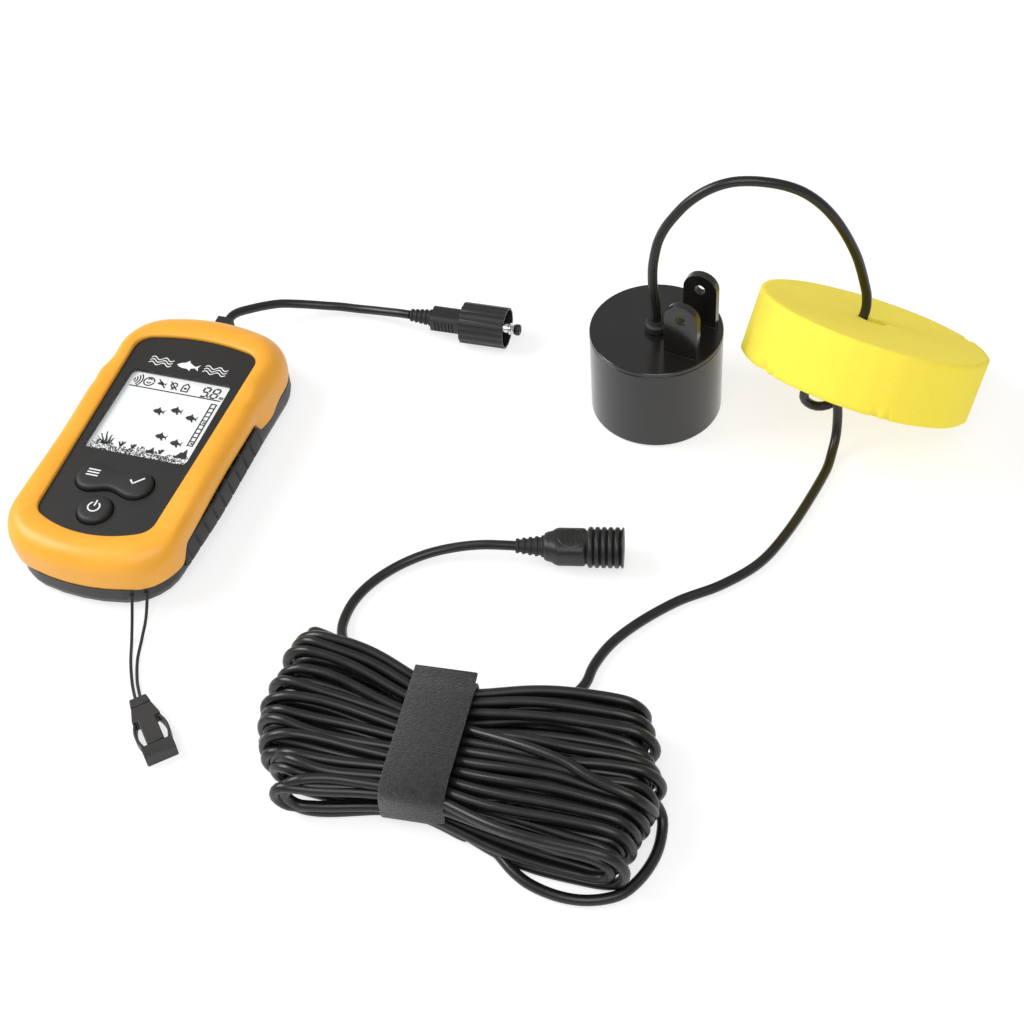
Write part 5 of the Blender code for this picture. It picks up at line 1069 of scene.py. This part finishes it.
def make_lanyard():
    """A thin cord from the buckle through the foot's two holes and back, as a small tube along its route."""
    turn = about_z(BUCKLE_TURN)
    ends = [BUCKLE_START + turn @ np.array((-0.0003, side, 0.0025)) for side in (-0.0008, 0.0008)]
    out = np.array([math.sin(math.radians(30)), -math.cos(math.radians(30)), 0.0])
    first, second = CORD_HOLES
    across = (second - first) / np.linalg.norm(second - first)
    centre = (first + second) / 2 - out * 0.0042
    angle = np.radians(np.arange(0, 181, 30))[:, None]
    back = centre - across * 0.0026 * np.cos(angle) - out * 0.0026 * 0.75 * np.sin(angle)
    left = [ends[0], (0.0351, -0.0959, 0.0016), (0.0318, -0.0912, 0.0008), (0.0275, -0.0835, 0.0006),
            (0.0240, -0.0755, 0.0008), (0.0214, -0.0685, 0.0032), first + out * 0.0022, first + out * 0.0002]
    right = [second + out * 0.0002, second + out * 0.0022, (0.0258, -0.0668, 0.0032), (0.0269, -0.0735, 0.0008),
             (0.0293, -0.0820, 0.0006), (0.0330, -0.0898, 0.0008), (0.0364, -0.0948, 0.0016), ends[1]]
    path = curve_through(np.vstack([left, back, right]), 0.0008)
    piece = tube("lanyard_loop", path, LANYARD_RADIUS, "cord", sides=10)
    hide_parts("lanyard_cord")


# ================================================================ connectors, buckle and float

PLUG_START = np.array([0.0648, 0.0960, 0.0081])
PLUG_TURN = math.radians(2.0)
SOCKET_START = np.array([0.1402, -0.0073, 0.00755])
SOCKET_TURN = math.radians(12.8)


def along_axis(name, x, width, height, power, finish, place, turn, sides, lift=None):
    """Sections carried along a level axis: each is a superellipse with its own half width and half height.

    A superellipse is a circle whose cosine and sine are raised to the power 2 over the section's power, so
    that 2 is an ellipse and more is squarer. lift adds to the height where a pattern is wanted.
    """
    angle = np.linspace(0, 2 * np.pi, sides, endpoint=False)[None, :]
    sizes = (np.asarray(size, float) for size in (x, width, height, power))
    x, width, height, power = (np.broadcast_to(size, len(x))[:, None] for size in sizes)
    c, s = np.cos(angle), np.sin(angle)
    y = width * np.sign(c) * np.abs(c) ** (2 / power)
    z = height * np.sign(s) * np.abs(s) ** (2 / power)
    if lift is not None:
        z = z + lift(x, y, s) * np.ones_like(z)
    x = x * np.ones_like(y)
    points = place + np.stack([x, y, z], 2).reshape(-1, 3) @ about_z(turn).T
    return new_piece(name, points, grid_faces(len(x), sides), finish, sharp=48)


def knurl(x, y, s):
    """Crossed ribs inside an oval, and a raised line round it, on the upper side of the socket's grip."""
    oval = ((x - 0.0196) / 0.0040) ** 2 + (y / 0.0036) ** 2
    upper = s > 0.3
    inside = np.clip((1.0 - oval) * 6, 0, 1) * upper
    rim = np.exp(-((oval - 1.15) / 0.12) ** 2) * upper * (x < 0.0245)
    ribs = np.abs(np.sin(x * 4200 + y * 4200) * np.sin(x * 4200 - y * 4200))
    return 0.00030 * ribs * inside + 0.00022 * rim


def make_socket():
    """The socket's moulding: a squarish grip with a knurled oval, and a ridged barrel with an open bore.

    The grip's sections go evenly between a few chosen ones. The barrel's radius falls by a narrow bell at
    each groove, and its last sections turn in over the face and back along the bore.
    """
    knots = np.array([(0.0099, 0.0022, 0.0022, 2.0), (0.0100, 0.0040, 0.0040, 2.0),
                      (0.0103, 0.0046, 0.0044, 2.2), (0.0112, 0.0050, 0.0046, 2.4),
                      (0.0128, 0.0053, 0.0048, 2.6), (0.0140, 0.0060, 0.0051, 3.0),
                      (0.0152, 0.0063, 0.0052, 3.2), (0.0236, 0.0063, 0.0052, 3.2),
                      (0.0243, 0.0060, 0.0053, 2.8), (0.0247, 0.0057, 0.0055, 2.0)])
    grip_x = np.concatenate([knots[:6, 0], np.linspace(0.0144, 0.0240, 58), knots[8:, 0]])
    wide, high, square = (np.interp(grip_x, knots[:, 0], knots[:, k]) for k in (1, 2, 3))
    barrel_start, pitch = 0.0250, 0.00228
    barrel_x = np.linspace(barrel_start, 0.0374, 110)
    from_groove = np.abs(np.mod(barrel_x - barrel_start, pitch) - pitch / 2) - pitch / 2
    barrel = 0.00712 - 0.00095 * np.exp(-(from_groove / 0.00040) ** 2)
    bore_x = np.array([0.0376, 0.0376, 0.0374, 0.0330, 0.0264, 0.0263])
    bore = np.array([0.0066, 0.0040, 0.0036, 0.0036, 0.0036, 0.0004])
    x = np.concatenate([grip_x, barrel_x, bore_x])
    width = np.concatenate([wide, barrel, bore])
    height = np.concatenate([high, barrel, bore])
    power = np.concatenate([square, np.full(len(barrel) + len(bore), 2.0)])
    piece = along_axis("socket_moulding", x, width, height, power, "plug", SOCKET_START,
                       SOCKET_TURN, sides=144, lift=knurl)
    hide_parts("socket_body")


def make_pin():
    """The plug's pin, turned with a collar and a waist, and its dark insulated tip."""
    pin = np.array([(0.0230, 0.0004), (0.0231, 0.0019), (0.0395, 0.0019), (0.0398, 0.0017), (0.0402, 0.0017),
                    (0.0405, 0.0023), (0.0409, 0.0023), (0.0411, 0.0021), (0.0413, 0.0016), (0.0418, 0.0016),
                    (0.0421, 0.0021), (0.0424, 0.0021), (0.0425, 0.0004)])
    tip = np.array([(0.0421, 0.0004), (0.0426, 0.0004), (0.0427, 0.0019), (0.0430, 0.0022), (0.0442, 0.0022),
                    (0.0446, 0.0020), (0.0448, 0.0016), (0.0448, 0.0008), (0.0445, 0.0007), (0.0445, 0.0001)])
    for name, node, profile, finish, slot in (("chrome_pin_turned", "plug_pin", pin, "chrome", "chrome"),
                                              ("pin_tip_turned", "plug_tip", tip, "plug", "black_plastic")):
        x, radius = profile.T
        piece = along_axis(name, x, radius, radius, 2.0, finish, PLUG_START, PLUG_TURN, sides=40)
        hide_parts(node)


def make_buckle():
    """The lanyard's snap buckle: a shell with a tongue, the end bar, and a bowed spring arm on each side.

    Each is a flat outline carried upwards, with its edges rounded. An arm's outer edge bows by a half sine.
    """
    half_shell = np.array([(0.0036, 0.0034), (0.0086, 0.0047), (0.0096, 0.0048), (0.00965, 0.0029),
                           (0.0196, 0.0029)])
    half_bar = np.array([(0.0198, 0.0050), (0.0202, 0.0053), (0.0243, 0.0053), (0.0247, 0.0051)])
    along = np.linspace(0, 1, 24)
    x = 0.0098 + 0.0098 * along
    outer = 0.0046 + 0.0011 * np.sin(np.pi * along) ** 0.8 + 0.0003 * along
    half_arm = np.vstack([np.stack([x, outer], 1), np.stack([x, outer - 0.0010], 1)[::-1]])
    mirror = np.array([1.0, -1.0])
    shell, end = (np.vstack([half * mirror, half[::-1]]) for half in (half_shell, half_bar))
    parts = (("buckle_shell", "buckle_male", shell, 0.0003, 0.0050),
             ("buckle_bar", "buckle_female", end, 0.0000, 0.0050),
             ("buckle_spring_left", "buckle_arm_left", half_arm, 0.0005, 0.0046),
             ("buckle_spring_right", "buckle_arm_right", half_arm * mirror, 0.0005, 0.0046))
    for name, node, line, low, high in parts:
        piece = prisms(name, [line], low, high, "buckle", body=BODY_OF[node],
                       place=BUCKLE_START[:2], turn=BUCKLE_TURN)
        rounding = piece.modifiers.new("edges", "BEVEL")
        rounding.width = 0.0003
        rounding.segments = 2
        rounding.limit_method = "ANGLE"
        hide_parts(node)


# The float's nicks: bearing, half width in radians, depth, and whether on the upper edge.
NICKS = ((-2.42, 0.050, 0.0016, False), (-2.30, 0.020, 0.0010, False), (-1.32, 0.030, 0.0012, False),
         (-1.22, 0.016, 0.0015, False), (0.60, 0.040, 0.0012, True), (2.2, 0.030, 0.0014, False))


def float_slot(bearing):
    """The slot's reach at a bearing: where the ray meets the lens between two parabolas."""
    half_long, half_wide = 0.00675, 0.0036
    c, s = np.cos(bearing), np.abs(np.sin(bearing))
    bow = half_wide * c ** 2 / half_long ** 2 + 1e-9
    return (-s + np.sqrt(s ** 2 + 4 * half_wide * bow)) / (2 * bow)


def float_rim(bearing, shift):
    """The rim's reach at a bearing from the slot's middle, with slow waves left by the cutting."""
    rim = np.sin(bearing) * shift + np.sqrt(FLOAT_RADIUS ** 2 - (shift * np.cos(bearing)) ** 2)
    waves = 0.00015 * np.sin(5 * bearing + 1.0) + 0.00010 * np.sin(11 * bearing + 2.0)
    return rim + waves + 0.00005 * np.sin(29 * bearing)


def make_float():
    """The foam float: a closed section carried round its axis, from the lens-shaped slot to the rim.

    The section goes out over the top face, over a small chamfer, down the side, in under the foot and up
    the slot. A few bell-shaped nicks are taken out of its edges, and its faces are stirred by slow waves.
    """
    tall, chamfer, shift = FLOAT_THICKNESS, 0.0006, -FLOAT_CABLE[1]
    bearing = np.linspace(-np.pi, np.pi, 420, endpoint=False)
    side = np.linspace(-chamfer, -tall + chamfer, 15)[1:-1]
    face = np.array([0.0, 0.02, 0.12, 0.30, 0.50, 0.70, 0.85, 0.95])
    share = np.concatenate([[0.0], face, [1.0, 1.0], np.ones(13), [1.0, 1.0], face[::-1], [0.0, 0.0]])
    inward = np.concatenate([[0.0], 0 * face, [chamfer, 0.0], np.zeros(13), [0.0, chamfer], 0 * face,
                             [0.0, 0.0]])
    level = np.concatenate([[-0.0008], 0 * face, [0.0, -chamfer], side, [-tall + chamfer, -tall],
                            0 * face - tall, [-tall * 0.66, -tall * 0.33]])
    reach = float_slot(bearing)[:, None] * (1 - share) + (float_rim(bearing, shift)[:, None] - inward) * share
    height = level * np.ones_like(reach)
    for centre, wide, deep, upper in NICKS:
        edge, down = (0.0, 1) if upper else (-tall, -1)
        away = np.mod(bearing - centre + np.pi, 2 * np.pi) - np.pi
        nick = np.exp(-(away / wide) ** 2)[:, None] * np.exp(-((height - edge) / 0.0022) ** 2)
        nick = nick * (share > 0.99)
        reach = reach - deep * nick
        height = height - down * deep * 0.5 * nick
    on_face = (share > 0.1) * (share < 0.97)
    height = height + 0.00010 * np.sin(reach * 260 + 3 * bearing[:, None]) * on_face
    local = np.stack([reach * np.cos(bearing)[:, None], reach * np.sin(bearing)[:, None] - shift, height], 2)
    points = FLOAT_TOP + local.reshape(-1, 3) @ float_turn().T
    faces = grid_faces(*reach.shape, along=True, ends=False)
    piece = new_piece("foam_float", points, faces, "foam", body=BODY_OF["float"], sharp=50)
    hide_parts("float")


# ================================================================ camera, light and floor

CAMERA_PLACE = Vector((0.2829, -0.3692, 0.4602))
CAMERA_FORWARD = Vector((-0.2445, 0.6201, -0.7455))
CAMERA_ROLL = math.radians(5.43)
CAMERA_LENS = 60.7


def make_camera():
    """The camera's own axes: forward, and right and up turned by a small roll about it."""
    forward = CAMERA_FORWARD.normalized()
    level = forward.cross(Vector((0, 0, 1))).normalized()
    above = level.cross(forward)
    right = level * math.cos(CAMERA_ROLL) - above * math.sin(CAMERA_ROLL)
    up = level * math.sin(CAMERA_ROLL) + above * math.cos(CAMERA_ROLL)
    data = bpy.data.cameras.new("camera")
    data.lens = CAMERA_LENS
    data.sensor_width = 36.0
    data.clip_start = 0.01
    camera = bpy.data.objects.new("camera", data)
    axes = Matrix((right, up, -forward)).transposed().to_4x4()
    camera.matrix_world = Matrix.Translation(CAMERA_PLACE) @ axes
    bpy.context.scene.collection.objects.link(camera)
    bpy.context.scene.camera = camera


def area_light(name, place, aim, size, power):
    """A round soft light that faces a point."""
    data = bpy.data.lights.new(name, "AREA")
    data.shape = "DISK"
    data.size = size
    data.energy = power
    light = bpy.data.objects.new(name, data)
    light.location = place
    light.rotation_euler = (Vector(aim) - Vector(place)).to_track_quat("-Z", "Y").to_euler()
    bpy.context.scene.collection.objects.link(light)


def make_studio():
    """A white floor that glows a little, an even white sky, and two soft lights from the left and above."""
    floor_mesh = bpy.data.meshes.new("floor")
    far = 3.0
    corners = [(-far, -far, 0), (far, -far, 0), (far, far, 0), (-far, far, 0)]
    floor_mesh.from_pydata(corners, [], [(0, 1, 2, 3)])
    paint = bpy.data.materials.new("floor_white")
    paint.use_nodes = True
    shader = paint.node_tree.nodes["Principled BSDF"]
    shader.inputs["Base Color"].default_value = (0.34, 0.34, 0.34, 1.0)
    shader.inputs["Roughness"].default_value = 0.9
    shader.inputs["Specular IOR Level"].default_value = 0.2
    shader.inputs["Emission Color"].default_value = (1.0, 1.0, 1.0, 1.0)
    shader.inputs["Emission Strength"].default_value = 0.70
    floor_mesh.materials.append(paint)
    floor = bpy.data.objects.new("floor", floor_mesh)
    bpy.context.scene.collection.objects.link(floor)
    world = bpy.data.worlds.new("studio")
    world.use_nodes = True
    world.node_tree.nodes["Background"].inputs["Color"].default_value = (1.0, 1.0, 1.0, 1.0)
    world.node_tree.nodes["Background"].inputs["Strength"].default_value = 0.50
    bpy.context.scene.world = world
    area_light("key", (-0.75, -0.10, 0.80), (0.12, 0.0, 0.0), 0.7, 9.0)
    area_light("top", (0.35, -0.60, 1.10), (0.12, 0.0, 0.0), 0.9, 6.0)
    bpy.context.scene.view_settings.view_transform = "Standard"


make_camera()
make_studio()
show_packed_nodes()
make_bumper()
make_side_grip("right_grip", "side_grip_right", 1)
make_side_grip("left_grip", "side_grip_left", -1)
make_key("double_key", "setup_enter_key", DOUBLE_KEY_PLACE, DOUBLE_KEY_SPREAD, 0.0063, 0.0042)
make_key("round_key", "power_key", (-0.0014, -0.0408), 0.0, 0.0063, 0.0063)
make_display_picture()
make_panel_marks()
make_socket()
make_pin()
make_buckle()
make_float()
make_lanyard()
make_strap()
make_cables()
